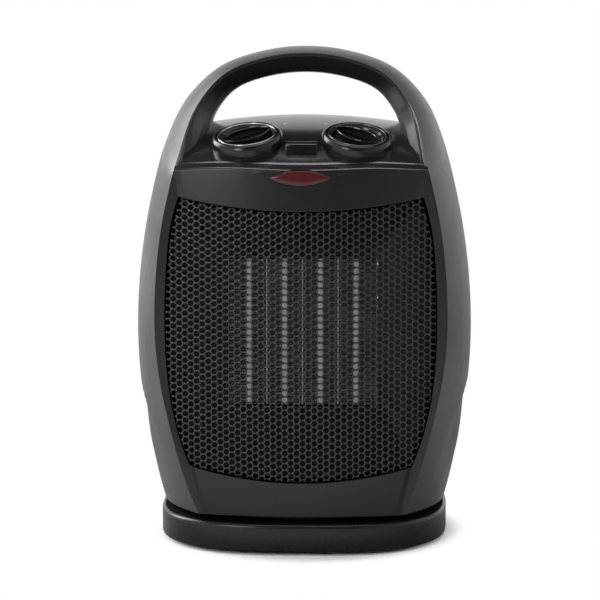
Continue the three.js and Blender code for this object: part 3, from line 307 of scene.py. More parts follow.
# ------------------------------------------------------------------ materials
def plastic(name, color, rough, bump=0.15, bump_scale=2600.0, var=0.05, coat=0.0, spec=0.5,
            metallic=0.0, tint=0.12, dust=0.0, coat_rough=0.08):
    """Moulded plastic or metal: fine surface texture, slow variation of colour and roughness."""
    m = bpy.data.materials.new(name)
    m.use_nodes = True
    nt = m.node_tree
    nt.nodes.clear()
    out = nt.nodes.new("ShaderNodeOutputMaterial")
    b = nt.nodes.new("ShaderNodeBsdfPrincipled")
    nt.links.new(b.outputs[0], out.inputs[0])
    b.inputs["Metallic"].default_value = metallic
    b.inputs["Specular IOR Level"].default_value = spec
    b.inputs["Coat Weight"].default_value = coat
    b.inputs["Coat Roughness"].default_value = coat_rough
    co = nt.nodes.new("ShaderNodeTexCoord")
    # slow mottling of the colour
    n1 = nt.nodes.new("ShaderNodeTexNoise")
    n1.inputs["Scale"].default_value = 45.0
    n1.inputs["Detail"].default_value = 4.0
    nt.links.new(co.outputs["Object"], n1.inputs["Vector"])
    ramp = nt.nodes.new("ShaderNodeValToRGB")
    c = np.array(color)
    ramp.color_ramp.elements[0].position = 0.3
    ramp.color_ramp.elements[1].position = 0.7
    ramp.color_ramp.elements[0].color = (*(c * (1 - tint)), 1)
    ramp.color_ramp.elements[1].color = (*(c * (1 + tint)), 1)
    nt.links.new(n1.outputs["Fac"], ramp.inputs[0])
    nt.links.new(ramp.outputs[0], b.inputs["Base Color"])
    # roughness
    n2 = nt.nodes.new("ShaderNodeTexNoise")
    n2.inputs["Scale"].default_value = 160.0
    n2.inputs["Detail"].default_value = 3.0
    nt.links.new(co.outputs["Object"], n2.inputs["Vector"])
    mr = nt.nodes.new("ShaderNodeMapRange")
    mr.inputs["From Min"].default_value = 0.3
    mr.inputs["From Max"].default_value = 0.7
    mr.inputs["To Min"].default_value = max(0.02, rough - var)
    mr.inputs["To Max"].default_value = rough + var
    nt.links.new(n2.outputs["Fac"], mr.inputs["Value"])
    nt.links.new(mr.outputs[0], b.inputs["Roughness"])
    # moulded texture
    if bump > 0:
        n3 = nt.nodes.new("ShaderNodeTexNoise")
        n3.inputs["Scale"].default_value = bump_scale
        n3.inputs["Detail"].default_value = 2.0
        nt.links.new(co.outputs["Object"], n3.inputs["Vector"])
        bp = nt.nodes.new("ShaderNodeBump")
        bp.inputs["Strength"].default_value = bump
        bp.inputs["Distance"].default_value = 0.00006
        nt.links.new(n3.outputs["Fac"], bp.inputs["Height"])
        nt.links.new(bp.outputs[0], b.inputs["Normal"])
    return m


M = {}
M["shell"] = plastic("shell_satin", (0.037, 0.038, 0.040), 0.34, bump=0.22, bump_scale=2200, var=0.03, spec=0.5, tint=0.06)
M["face"] = plastic("face_semi_gloss", (0.0085, 0.0085, 0.0088), 0.30, bump=0.10, bump_scale=2600, var=0.025, spec=0.34, tint=0.06)
M["base"] = plastic("base_semi_gloss", (0.0080, 0.0080, 0.0083), 0.28, bump=0.10, bump_scale=2600, var=0.025, spec=0.32, tint=0.06)
M["gloss"] = plastic("gloss_black", (0.0170, 0.0170, 0.0172), 0.24, bump=0.03, bump_scale=1500, var=0.02, spec=0.16, tint=0.05)
M["panel"] = plastic("panel_black", (0.0090, 0.0090, 0.0092), 0.16, bump=0.02, bump_scale=2600, var=0.015, spec=0.45, tint=0.05)
M["knob"] = plastic("knob_black", (0.0090, 0.0090, 0.0090), 0.20, bump=0.03, bump_scale=1800, var=0.02, spec=0.32, tint=0.05)
M["grip"] = plastic("knob_grip", (0.0060, 0.0060, 0.0060), 0.10, bump=0.02, bump_scale=900, var=0.015, spec=0.42, tint=0.05)
M["mesh"] = plastic("grille_paint", (0.0110, 0.0110, 0.0112), 0.28, bump=0.08, bump_scale=3000, var=0.05, spec=0.5)
M["dark"] = plastic("dark_moulding", (0.006, 0.006, 0.006), 0.55, bump=0.15, bump_scale=2000, var=0.05, spec=0.3)
# near-black, matte and barely reflecting: painted shade for the outlet groove and the grips' hollows
M["black"] = plastic("painted_shade_black", (0.0012, 0.0012, 0.0012), 0.85, bump=0.1, bump_scale=2000, var=0.05, spec=0.05)
M["duct"] = plastic("duct_moulding", (0.010, 0.010, 0.010), 0.42, bump=0.12, bump_scale=1600, var=0.06, spec=0.4)
# darker and duller than the base: painted shade on the deck in the gap under the body
M["deck"] = plastic("deck_painted_shade", (0.003, 0.003, 0.003), 0.80, bump=0.2, bump_scale=2000, var=0.05, spec=0.06)
M["rubber"] = plastic("foot_rubber", (0.014, 0.014, 0.014), 0.85, bump=0.4, bump_scale=1800, var=0.05)
M["nylon"] = plastic("natural_nylon", (0.66, 0.63, 0.56), 0.48, bump=0.1, bump_scale=900, var=0.05, tint=0.05)
M["alu"] = plastic("aluminium_strip", (0.19, 0.19, 0.194), 0.36, bump=0.2, bump_scale=1200, var=0.10, metallic=1.0, tint=0.15)
M["strip"] = plastic("electrode_strip", (0.38, 0.38, 0.38), 0.42, bump=0.12, bump_scale=1200, var=0.08, metallic=0.6, tint=0.08)
M["ceramic"] = plastic("ceramic_grey", (0.42, 0.41, 0.39), 0.62, bump=0.3, bump_scale=1200, var=0.06, tint=0.10)
M["steel"] = plastic("zinc_steel", (0.45, 0.46, 0.47), 0.34, bump=0.15, bump_scale=1400, var=0.08, metallic=1.0, tint=0.08)
M["laminate"] = plastic("laminations", (0.20, 0.20, 0.21), 0.42, bump=0.3, bump_scale=900, var=0.08, metallic=0.9, tint=0.1)
M["copper"] = plastic("coil_copper", (0.42, 0.16, 0.06), 0.32, bump=0.3, bump_scale=900, var=0.08, metallic=0.9, tint=0.15)
M["chrome"] = plastic("ring_bright", (0.42, 0.42, 0.43), 0.20, bump=0.03, bump_scale=900, var=0.03, metallic=1.0, tint=0.04)
# darker copy of the ring material for the right knob: painted shade on that side
M["shaded_ring_copy"] = plastic("ring_painted_shade", (0.12, 0.12, 0.125), 0.22, bump=0.03, bump_scale=900, var=0.03, metallic=1.0, tint=0.04)
M["print"] = plastic("print_grey", (0.34, 0.34, 0.35), 0.45, bump=0.05, bump_scale=1500, var=0.04, tint=0.05)
M["switch"] = plastic("phenolic", (0.014, 0.015, 0.017), 0.5, bump=0.2, bump_scale=1500, var=0.06)
M["lens"] = plastic("lens_red", (0.068, 0.0105, 0.0130), 0.16, bump=0.02, bump_scale=500, var=0.03, spec=0.34, tint=0.10)

# ------------------------------------------------------------------ side band and handle
def sweep_relief(q, v):
    """The crease that sweeps from the widest part of each side down towards the lower corners."""
    if q.z > 92:
        return 0.0
    w = v if v < 0.5 else 1 - v
    d = lerp(47.0, 84.0, float(smooth(-0.06, 0.47, w))) - q.z
    if d < 0:
        return 0.0
    return 1.4 * float(smooth(0, 2.8, d)) * (1 - float(smooth(4, 36, d))) * float(smooth(0.12, 0.30, w))


def band_sections(n_v=44):
    secs = []
    ss = []
    # finer steps where the sweep crease runs
    s = 0.0
    while s < 1.0:
        ss.append(s)
        s += 0.0022 if float(OUTLINE[1](s)) < 92 else 0.008
    ss.append(1.0)
    ss = ss + [2 - t for t in ss[:-1][::-1]]
    for s in ss:
        q = station(s)
        low = 1 - float(smooth(196.0, 200.0, q.z))
        cut_f, cut_r = 0.4 * low, 0.5 * low
        y0, y1 = q.yf + cut_f, q.yr - cut_r
        outer, inner = [], []
        for j in range(n_v + 1):
            v = 0.5 - 0.5 * math.cos(math.pi * j / n_v)
            y = lerp(y0, y1, v)
            vv = (y - q.yf) / (q.yr - q.yf)
            outer.append((y, band_inset(q, vv) + 0.10 + sweep_relief(q, vv)))
        for j in range(0, n_v + 1, 4):
            v = 0.5 - 0.5 * math.cos(math.pi * j / n_v)
            y = lerp(y0 + 0.25, y1 - 0.25, v)
            vv = (y - q.yf) / (q.yr - q.yf)
            inner.append((y, band_inset(q, vv) + band_wall(q, vv)))
        # small rounding where the outer skin turns into the two edges
        loop = outer + inner[::-1]
        r = [0.0] * len(loop)
        r[0] = r[n_v] = 0.5
        r[n_v + 1] = r[-1] = 0.3
        loop = rounded(loop, r, 4)
        secs.append([on_band(q, y, d) for y, d in loop])
    return secs


band = loft("side_band_visual", band_sections(), sharp=32)
finish_piece(band, "upper_body", M["shell"], ["side_band"])


# ------------------------------------------------------------------ handle liner
def liner_sections(n_s=150):
    secs = []
    s0 = 0.655
    for i in range(n_s + 1):
        q = station(lerp(s0, 2 - s0, i / n_s))
        # section in (y, depth): front lip, slanted facet, rounded turn, flat inner face, the same at the back
        df, dr = q.df + q.te + 0.25, q.dr + q.te + 0.25
        yf, yr = q.yf + 0.5, q.yr - 0.5
        width = yr - yf
        slant = min(15.0, 0.30 * width)
        di = q.di
        pts = [
            (yf, df - q.te * 0.35),
            (yf + 0.25, df + 0.9),
            (yf + slant * 0.55, lerp(df + 0.9, di, 0.62)),
            (yf + slant, di - 0.6),
            (yf + slant + 4.5, di),
            (yr - slant - 4.5, di),
            (yr - slant, di - 0.6),
            (yr - slant * 0.55, lerp(dr + 0.9, di, 0.62)),
            (yr - 0.25, dr + 0.9),
            (yr, dr - q.te * 0.35),
        ]
        back = []
        for j in range(0, 13):
            v = 1 - j / 12
            y = lerp(yf + 0.6, yr - 0.6, v)
            vv = (y - q.yf) / (q.yr - q.yf)
            back.append((y, band_inset(q, vv) + band_wall(q, vv) + 0.3))
        r = [0.3, 0.5, 3.0, 3.0, 3.0, 3.0, 3.0, 3.0, 0.5, 0.3]
        loop = rounded(pts + back, r + [0.0] * len(back), 5)
        secs.append([on_band(q, y, d) for y, d in loop])
    return secs


liner = loft("handle_liner_visual", liner_sections(), sharp=38)
finish_piece(liner, "upper_body", M["gloss"], ["handle_liner"])

# ------------------------------------------------------------------ outlet opening
side_x = spline(
    [36, 44.3, 52.6, 65, 78.6, 96, 115, 130.5, 148, 166.4, 183.2, 192],
    [54.2, 57.2, 60.4, 64.2, 67.0, 69.0, 69.8, 69.7, 68.8, 66.9, 62.6, 59.6],
)


def opening(a, b, grow=0.0):
    zc = lerp(44.3 - grow, 183.2 + grow, b)
    x = a * (float(side_x(zc)) + grow)
    return x, zc - (1 - a * a) * lerp(7.5, 6.4, b)


# ------------------------------------------------------------------ front frame
LENS = dict(z=193.6, half=16.0, height=3.8)
TOP_R = 0.8


def face_relief(x, z):
    """Shallow scallop either side of the lens: above the crease the face stands a little proud."""
    ax = abs(x)
    if ax > 36:
        return 0.0
    d = z - (195.4 + 6.2 * float(smooth(20.0, 35.0, ax)))
    return -0.9 * float(smooth(-0.2, 1.5, d)) * float(smooth(15.0, 22.0, ax)) * (1 - float(smooth(30.0, 36.0, ax)))


def dip(x):
    """The top edge of the face and the panel's front edge sag in the middle."""
    return 1.7 * (1 - float(smooth(2.0, 46.0, abs(x))))


def frame_top(x):
    return float(dome_z(x, face_y(x, 198))) - dip(x)


def frame_point(x, b):
    """Outer surface of the frame above the opening: b 0 at the face's top, 1 at the seam with the panel."""
    zt = frame_top(x)
    r = TOP_R
    y_top = face_y(x, zt)
    z0 = zt - r
    y0 = face_y(x, z0)
    y2 = y_top + r
    z2 = float(dome_z(x, y2)) - dip(x)
    if b <= 0.6:
        t = b / 0.6
        return (
            x,
            (1 - t) ** 2 * y0 + 2 * t * (1 - t) * y_top + t * t * y2,
            (1 - t) ** 2 * z0 + 2 * t * (1 - t) * zt + t * t * z2,
        )
    y = lerp(y2, seam_front(x) - GAP / 2, (b - 0.6) / 0.4)
    return (x, y, float(dome_z(x, y)) - dip(x))


def build_front_frame():
    """Structured blocks round the opening: three columns by three rows without the middle one."""
    verts, faces, cache = [], [], {}

    def vid(p):
        k = (round(p[0], 4), round(p[1], 4), round(p[2], 4))
        if k not in cache:
            cache[k] = len(verts)
            verts.append(p)
        return cache[k]

    NS, NM, NR = 10, 180, 150  # side strip, middle columns, rows beside the opening
    NB, NT, NL = 26, 30, 16  # rows below, above, and over the top edge
    BACK = 1.7  # how far the side strips' inner edges lie behind the bulged face

    def surf(x, z, facet):
        return (x, face_y(x, z) + facet, z)

    # bottom rows: from the body's lower edge to the opening's sagging bottom edge
    def bottom(a, t):
        # a in -1..1 spans the opening's width; strips continue to the outer edge
        xo, zo = opening(a, 0)
        xb, zb = a * 51.6, BODY_Z0
        return lerp(xb, xo, t), lerp(zb, zo, t)

    def top_row(a, t):
        xo, zo = opening(a, 1)
        xt = a * (float(edge_x(195.0)) - 0.8)
        zt = frame_top(xt) - TOP_R
        return lerp(xo, xt, t), lerp(zo, zt, t)

    blocks = []

    def turn_back(a, level):
        return BACK * level * float(smooth(0.945, 1.0, abs(a)))

    def cols_at(i):
        # columns crowd towards the two creases
        t = lerp(-1, 1, i / NM)
        return math.copysign(1 - (1 - abs(t)) ** 1.35, t)

    # middle column, bottom and top
    blocks.append([[surf(*bottom(cols_at(i), j / NB), turn_back(cols_at(i), j / NB)) for j in range(NB + 1)] for i in range(NM + 1)])
    mid_top = []
    for i in range(NM + 1):
        line = []
        for j in range(NT + 1):
            x, z = top_row(cols_at(i), j / NT)
            line.append(surf(x, z, turn_back(cols_at(i), 1 - j / NT) + face_relief(x, z) * float(1 - smooth(0.9, 1.0, j / NT))))
        mid_top.append(line)
    blocks.append(mid_top)
    for sx in (-1, 1):
        # side strip: inner edge follows the bottom corner line, the opening's side, the top corner line
        def inner_line(k, n, part):
            if part == 0:
                return bottom(sx, k / n)
            if part == 1:
                return opening(sx, k / n)
            return top_row(sx, k / n)

        strip = []
        rows = []
        for part, n in ((0, NB), (1, NR), (2, NT)):
            for k in range(n + 1):
                if part and k == 0:
                    continue
                xi, zi = inner_line(k, n, part)
                if part == 0:
                    zo = lerp(BODY_Z0, 44.3, k / n)
                elif part == 1:
                    zo = zi
                else:
                    zo = lerp(183.2, frame_top(64.4) - TOP_R, k / n)
                xo = sx * float(edge_x(min(zo, 197.5)))
                level = k / n if part == 0 else (1.0 if part == 1 else 1 - k / n)
                rows.append((xi, zi, xo, zo, level))
        for xi, zi, xo, zo, level in rows:
            line = []
            yi, yo = face_y(xi, zi) + BACK * level, face_y(xo, zo)
            for j in range(NS + 1):
                t = j / NS
                line.append((lerp(xi, xo, t), lerp(yi, yo, t), lerp(zi, zo, t)))
            strip.append(line)
        blocks.append(strip)
    # rounded top edge and lip
    top = []
    n_top = NM
    for i in range(n_top + 1):
        a = cols_at(i)
        xt = a * (float(edge_x(195.0)) - 0.8)
        top.append([frame_point(xt, j / NL) for j in range(NL + 1)])
    blocks.append(top)
    # corners of the top edge beyond the strips' inner line
    xs0 = float(edge_x(195.0)) - 0.8
    for sx in (-1, 1):
        corner = []
        for k in range(4):
            x = sx * lerp(xs0, float(edge_x(197.5)), k / 3)
            corner.append([frame_point(x, j / NL) for j in range(NL + 1)])
        blocks.append(corner)
    for bl in blocks:
        for i in range(len(bl) - 1):
            for j in range(len(bl[0]) - 1):
                q = [vid(bl[i][j]), vid(bl[i + 1][j]), vid(bl[i + 1][j + 1]), vid(bl[i][j + 1])]
                if len(set(q)) >= 3:
                    faces.append(tuple(dict.fromkeys(q)))
    return verts, faces


fv, ff = build_front_frame()
me = bpy.data.meshes.new("front_frame_visual")
me.from_pydata([tuple(c * MM for c in v) for v in fv], [], ff)
bm = bmesh.new()
bm.from_mesh(me)
bmesh.ops.remove_doubles(bm, verts=bm.verts, dist=5e-6)
bmesh.ops.recalc_face_normals(bm, faces=bm.faces)
# face outwards (-Y)
if sum(f.normal.y * f.calc_area() for f in bm.faces) > 0:
    bmesh.ops.reverse_faces(bm, faces=bm.faces)
for f in bm.faces:
    f.smooth = True
bm.to_mesh(me)
bm.free()
front = bpy.data.objects.new("front_frame_visual", me)
COL.objects.link(front)
sol = front.modifiers.new("thick", "SOLIDIFY")
sol.thickness = 2.2 * MM
sol.offset = -1
sol.use_even_offset = False
sol.use_quality_normals = True
bev = front.modifiers.new("edge", "BEVEL")
bev.width = 0.45 * MM
bev.segments = 3
bev.limit_method = "ANGLE"
bev.angle_limit = math.radians(50)
dg = bpy.context.evaluated_depsgraph_get()
nm = bpy.data.meshes.new_from_object(front.evaluated_get(dg))
front.modifiers.clear()
front.data = nm
finish_piece(front, "upper_body", M["face"], ["front_frame"])
front.data.materials.append(M["panel"])
for poly in front.data.polygons:
    if poly.normal.z > 0.45 and poly.center.z > 0.190:
        poly.material_index = 1

# ------------------------------------------------------------------ indicator lens
def vesica(half, height, n=28):
    r = (half * half + height * height) / (2 * height)
    t = math.asin(half / r)
    p = []
    for i in range(n):
        a = lerp(-t, t, i / n)
        p.append((r * math.sin(a), r * math.cos(a) - (r - height)))
    for i in range(n):
        a = lerp(t, -t, i / n)
        p.append((r * math.sin(a), -(r * math.cos(a) - (r - height))))
    return p


def shield(name, half, height, levels, zc, n=28):
    """A pointed oval on the face: levels are (scale towards the middle, how far out of the face)."""
    secs = []
    for k, out in levels:
        h = max(half * k, 0.02)
        hh = max(height * k, 0.005)
        pts = vesica(h, hh, n)
        secs.append([(x, face_y(x, z + zc) - out, z + zc) for x, z in pts])
    return loft(name, secs, sharp=40)


rim = shield("lens_surround", LENS["half"] + 0.9, LENS["height"] + 0.65,
             [(1.0, -1.4), (1.0, -0.05), (0.985, 0.10), (0.96, 0.08), (0.945, -0.25), (0.94, -1.4)], LENS["z"])
finish_piece(rim, "upper_body", M["face"], [])
lens = shield("indicator_lens_visual", LENS["half"], LENS["height"],
              [(1.0, -1.8), (1.0, -0.15), (0.98, 0.12), (0.93, 0.30), (0.8, 0.48), (0.6, 0.62), (0.35, 0.70), (0.1, 0.73), (0.0, 0.735)], LENS["z"])
finish_piece(lens, "upper_body", M["lens"], ["indicator_lens"])


# ------------------------------------------------------------------ perforated outlet sheet
def inside_opening(x, z, grow):
    # opening is described column by column: find its row limits at this x
    zc = z
    for _ in range(4):
        hx = float(side_x(min(max(zc, 36), 190))) + grow
        a = x / hx
        if abs(a) > 1.3:
            return False
        # invert z = zc - (1-a^2)*lerp(7.5,6.4,b)
        b = (zc - 44.3) / (183.2 - 44.3)
        zc = z + (1 - a * a) * lerp(7.5, 6.4, b)
    return abs(a) <= 1 and 44.3 - grow <= zc <= 183.2 + grow


def clamp_opening(x, z, g):
    """Pulls a point that lies outside the sheet's outline back onto it."""
    for _ in range(3):
        sx = float(side_x(min(max(z + 3.0, 40.0), 188.0))) + g
        x = min(max(x, -sx), sx)
        a2 = (x / sx) ** 2
        zb = 44.3 - g - (1 - a2) * 7.5
        zt = 183.2 + g - (1 - a2) * 6.4
        zz = min(max(z, zb), zt)
        zc = zz + (1 - a2) * lerp(7.5, 6.4, (zz - zb) / (zt - zb))
        sx = float(side_x(min(max(zc, 40.0), 188.0))) + g
        x = min(max(x, -sx), sx)
        z = zz
    return x, z


def build_grille(pitch_z=3.484, pitch_x=3.017, hole=1.42, front_off=1.3, thick=0.7):
    verts, faces = [], []
    nseg = 12
    ang = [2 * math.pi * k / nseg for k in range(nseg)]
    hexr = pitch_z / math.sqrt(3)
    # cell outline: hexagon with pointed ends left and right, sampled at the same 12 angles
    def hex_pt(t):
        # distance to the hexagon's edge at angle t; its flat sides face +-Z
        a = (t - math.pi / 2 + math.pi / 6) % (math.pi / 3) - math.pi / 6
        r = (pitch_z / 2) / math.cos(a)
        return r * math.cos(t), r * math.sin(t)

    outline = [hex_pt(t) for t in ang]
    cache = {}

    def vid(x, z, off):
        x, z = clamp_opening(x, z, -0.75)
        k = (round(x, 3), round(z, 3), off)
        if k not in cache:
            cache[k] = len(verts)
            verts.append((x, face_y(x, z) + off, z))
        return cache[k]

    ni = int(80 / pitch_x)
    cnt = 0
    for i in range(-ni, ni + 1):
        cx = 1.34 + i * pitch_x
        for j in range(-30, 40):
            cz = 110 + j * pitch_z + (pitch_z / 2 if i % 2 else 0)
            if not inside_opening(cx, cz, 0.5):
                continue
            cnt += 1
            o = [(cx + px, cz + pz) for px, pz in outline]
            h = [(cx + hole * math.cos(t), cz + hole * math.sin(t)) for t in ang]
            h2 = [(cx + (hole + 0.20) * math.cos(t), cz + (hole + 0.20) * math.sin(t)) for t in ang]
            f_o = [vid(*p, front_off) for p in o]
            f_h2 = [vid(*p, front_off) for p in h2]
            f_h = [vid(*p, front_off + 0.22) for p in h]
            b_h = [vid(*p, front_off + thick) for p in h]
            b_o = [vid(*p, front_off + thick) for p in o]
            for k in range(nseg):
                l = (k + 1) % nseg
                faces.append((f_o[k], f_o[l], f_h2[l], f_h2[k]))
                faces.append((f_h2[k], f_h2[l], f_h[l], f_h[k]))
                faces.append((f_h[k], f_h[l], b_h[l], b_h[k]))
                faces.append((b_h[k], b_h[l], b_o[l], b_o[k]))
    return verts, faces, cnt


gv, gf, ncell = build_grille()
me = bpy.data.meshes.new("outlet_grille_visual")
me.from_pydata([tuple(c * MM for c in v) for v in gv], [], gf)
bm = bmesh.new()
bm.from_mesh(me)
bmesh.ops.remove_doubles(bm, verts=bm.verts, dist=2e-6)
bmesh.ops.dissolve_degenerate(bm, edges=bm.edges, dist=2e-6)
bmesh.ops.recalc_face_normals(bm, faces=bm.faces)
for f in bm.faces:
    f.smooth = True
for e in bm.edges:
    if len(e.link_faces) == 2 and e.calc_face_angle(0) > math.radians(62):
        e.smooth = False
bm.to_mesh(me)
bm.free()
grille = bpy.data.objects.new("outlet_grille_visual", me)
COL.objects.link(grille)
finish_piece(grille, "upper_body", M["mesh"], ["front_grille"])
print("grille cells", ncell, "faces", len(gf))


def opening_loop(grow, n=90):
    p = []
    for i in range(n):
        p.append(opening(lerp(-1, 1, i / n), 0, grow))
    for i in range(n):
        p.append(opening(1, i / n, grow))
    for i in range(n):
        p.append(opening(lerp(1, -1, i / n), 1, grow))
    for i in range(n):
        p.append(opening(-1, 1 - i / n, grow))
    return p


# dark channel between the frame and the sheet: the frame's inner return, seen as a groove, coloured near-black and
# matte as painted shade in the gap
channel = []
for g, off in ((0.02, 1.9), (-0.1, 2.9), (-2.2, 2.9), (-2.2, 3.4), (0.8, 3.4), (0.8, 1.9)):
    channel.append([(x, face_y(x, z) + off, z) for x, z in opening_loop(g)])
m_ = len(channel[0])
cv = [p for c in channel for p in c]
cf = []
for i in range(len(channel)):
    a0, b0 = i * m_, ((i + 1) % len(channel)) * m_
    for j in range(m_):
        k = (j + 1) % m_
        cf.append((a0 + j, a0 + k, b0 + k, b0 + j))
chan = mesh_object("outlet_channel", cv, cf, True, 40)
finish_piece(chan, "upper_body", M["black"], [])

# ------------------------------------------------------------------ control panel
panel_half = spline([-60, -45, -20, 0, 22, 36, 46], [59.4, 61.2, 64.2, 65.0, 65.0, 63, 60.6])


def panel_point(x, y):
    z = float(dome_z(x, y))
    return x, y, z


def build_panel(nx=120, ny=110):
    v, f = [], []
    for layer in (0.0, 2.0):
        for i in range(nx + 1):
            a = lerp(-1, 1, i / nx)
            for j in range(ny + 1):
                b = j / ny
                reach = 0.8 + 2.4 * (1 - float(smooth(0.0, 0.16, b)))
                x = a * (float(panel_half(lerp(-56, 46, b))) + reach)
                y = lerp(seam_front(x) + GAP / 2, seam_rear(x) - GAP / 2, b)
                # small rounding towards the two seams
                e = min(b * 110, (1 - b) * 110)
                drop = 0.35 * max(0.0, 1 - e / 0.9) ** 2
                v.append((x, y, float(dome_z(x, y)) - layer - drop - dip(x) * (1 - float(smooth(0.0, 0.15, b)))))
    n = (nx + 1) * (ny + 1)
    f += grid_faces(nx, ny)
    f += [t[::-1] for t in grid_faces(nx, ny, n)]
    w = ny + 1
    for i in range(nx):
        a = i * w
        f.append((a, n + a, n + a + w, a + w))
        b = a + ny
        f.append((b, b + w, n + b + w, n + b))
    for j in range(ny):
        f.append((j, j + 1, n + j + 1, n + j))
        b = nx * w + j
        f.append((b, n + b, n + b + 1, b + 1))
    return v, f


pv, pf = build_panel()
panel = mesh_object("control_panel_visual", pv, pf, True, 50)
finish_piece(panel, "upper_body", M["panel"], ["control_panel"])


def knob_matrix(sx):
    x, y = sx * KNOB["x"], KNOB["y"]
    n = Vector((2 * x / DOME["rx"], 2 * (y - DOME["y"]) / DOME["ry"], 1.0)).normalized()
    q = Vector((0, 0, 1)).rotation_difference(n)
    return Matrix.Translation(Vector((x, y, float(dome_z(x, y)))) * MM) @ q.to_matrix().to_4x4()


def bm_join(objs, name):
    """Joins objects into one mesh object."""
    bm = bmesh.new()
    mats = []
    for o in objs:
        me = o.data
        tmp = bmesh.new()
        tmp.from_mesh(me)
        idx = []
        for m in me.materials:
            if m not in mats:
                mats.append(m)
            idx.append(mats.index(m))
        for f in tmp.faces:
            f.material_index = idx[min(f.material_index, len(idx) - 1)] if idx else 0
        t = bpy.data.meshes.new("t")
        tmp.to_mesh(t)
        tmp.free()
        bm.from_mesh(t)
        bpy.data.meshes.remove(t)
    me = bpy.data.meshes.new(name)
    bm.to_mesh(me)
    bm.free()
    for m in mats:
        me.materials.append(m)
    ob = bpy.data.objects.new(name, me)
    COL.objects.link(ob)
    for o in objs:
        bpy.data.objects.remove(o, do_unlink=True)
    return ob


def prism(name, pts, levels, sharp=35):
    """Outline pts (x, y) lofted through (inset, z) levels."""
    secs = []
    c = np.array(pts)
    n = len(c)
    for inset, z in levels:
        prev, nxt = np.roll(c, 1, 0), np.roll(c, -1, 0)
        t = nxt - prev
        t /= np.linalg.norm(t, axis=1)[:, None]
        nrm = np.stack([t[:, 1], -t[:, 0]], 1)
        area = 0.5 * np.sum(c[:, 0] * nxt[:, 1] - nxt[:, 0] * c[:, 1])
        if area < 0:
            nrm = -nrm
        p = c - nrm * inset
        secs.append([(x, y, z) for x, y in p])
    return loft(name, secs, sharp=sharp)


for sx, side, what in ((-1, "left", "thermostat"), (1, "right", "selector")):
    mat = knob_matrix(sx)
    # collar standing on the panel
    h = KNOB["h"]
    prof = [
        (KNOB["bore"] + 0.05, -3.0), (KNOB["bezel"] + 0.0, -3.0), (KNOB["bezel"], 0.2), (KNOB["bezel"] - 0.15, h - 2.2),
        (KNOB["bezel"] - 0.35, h - 1.5), (KNOB["bezel"] - 0.75, h - 1.0), (KNOB["bezel"] - 1.05, h - 0.5),
        (KNOB["bezel"] - 1.5, h - 0.15), (KNOB["bezel"] - 1.9, h), (KNOB["bore"] + 0.15, h - 0.1), (KNOB["bore"] + 0.05, h - 0.3),
    ]
    collar = lathe(side + "_knob_collar_visual", prof, 120, closed=True, sharp=40)
    place(collar, mat)
    finish_piece(collar, "upper_body", M["knob"], [side + "_knob_collar"])
    # knob dish
    r = KNOB["r"] - 0.1
    dish = lathe(
        what + "_dish",
        [(0.0, 1.1), (r - 0.4, 1.1), (r, 1.5), (r, 4.3), (r - 0.1, 4.5), (15.35, 4.55), (15.25, 4.7),
         (15.18, 5.0), (14.0, 4.6), (13.3, 4.5), (12.9, 3.9), (12.5, 2.6), (11.6, 2.2), (6.0, 2.1), (0.0, 2.1)],
        120, sharp=30,
    )
    dish.data.materials.append(M["knob"])
    # bright ring let into the knob's rim
    ring = lathe(
        what + "_ring",
        [(14.55, 4.4), (14.58, 5.4), (14.68, 5.6), (14.86, 5.68), (15.04, 5.6), (15.14, 5.4), (15.16, 4.4)],
        120, closed=True, sharp=60,
    )
    # the right knob's ring takes the darker copy of the ring material: painted shade, as that side gets less light
    ring.data.materials.append(M["chrome" if sx < 0 else "shaded_ring_copy"])
    turn = math.radians(31) if sx < 0 else math.radians(144)
    ca, sa = math.cos(turn), math.sin(turn)
    pts = vesica(14.2, 7.4, 30)
    pts = [(x * ca - y * sa, x * sa + y * ca) for x, y in pts]
    grip = prism(what + "_grip", pts, [(0, 1.5), (0.0, 5.45), (0.08, 5.75), (0.25, 5.93), (0.45, 5.97), (0.62, 5.9), (0.8, 5.6), (1.05, 4.9), (1.5, 4.35), (2.2, 4.15), (3.2, 4.12)])
    grip.data.materials.append(M["grip"])
    # the hollow floor of the grip is coloured near-black: painted shade in the hollow
    grip.data.materials.append(M["black"])
    for poly in grip.data.polygons:
        if poly.center.z < 5.3 * MM and poly.normal.z > 0.15:
            poly.material_index = 1
    knob = bm_join([dish, ring, grip], what + "_knob_visual")
    place(knob, mat)
    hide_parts(what + "_knob")
    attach(knob, what + "_knob")

# pointer marks on the panel, and plain dashes where a scale would be
def mark(name, x, y, w, l, ang, z_up=0.06):
    ca, sa = math.cos(ang), math.sin(ang)
    secs = []
    for k, up in ((1.0, -0.3), (1.0, z_up * 0.6), (0.8, z_up)):
        s = []
        for dx, dy in ((-w / 2 * k, -l / 2 * k), (w / 2 * k, -l / 2 * k), (w / 2 * k * 0.6, l / 2 * k), (-w / 2 * k * 0.6, l / 2 * k)):
            px, py = x + dx * ca - dy * sa, y + dx * sa + dy * ca
            s.append((px, py, float(dome_z(px, py)) + up))
        secs.append(s)
    ob = loft(name, secs, sharp=30)
    return finish_piece(ob, "upper_body", M["print"], [])


mark("mark_left", -10.3, -8.0, 2.0, 3.2, math.radians(-35))
mark("mark_right", 11.2, -8.0, 2.0, 3.2, math.radians(35))

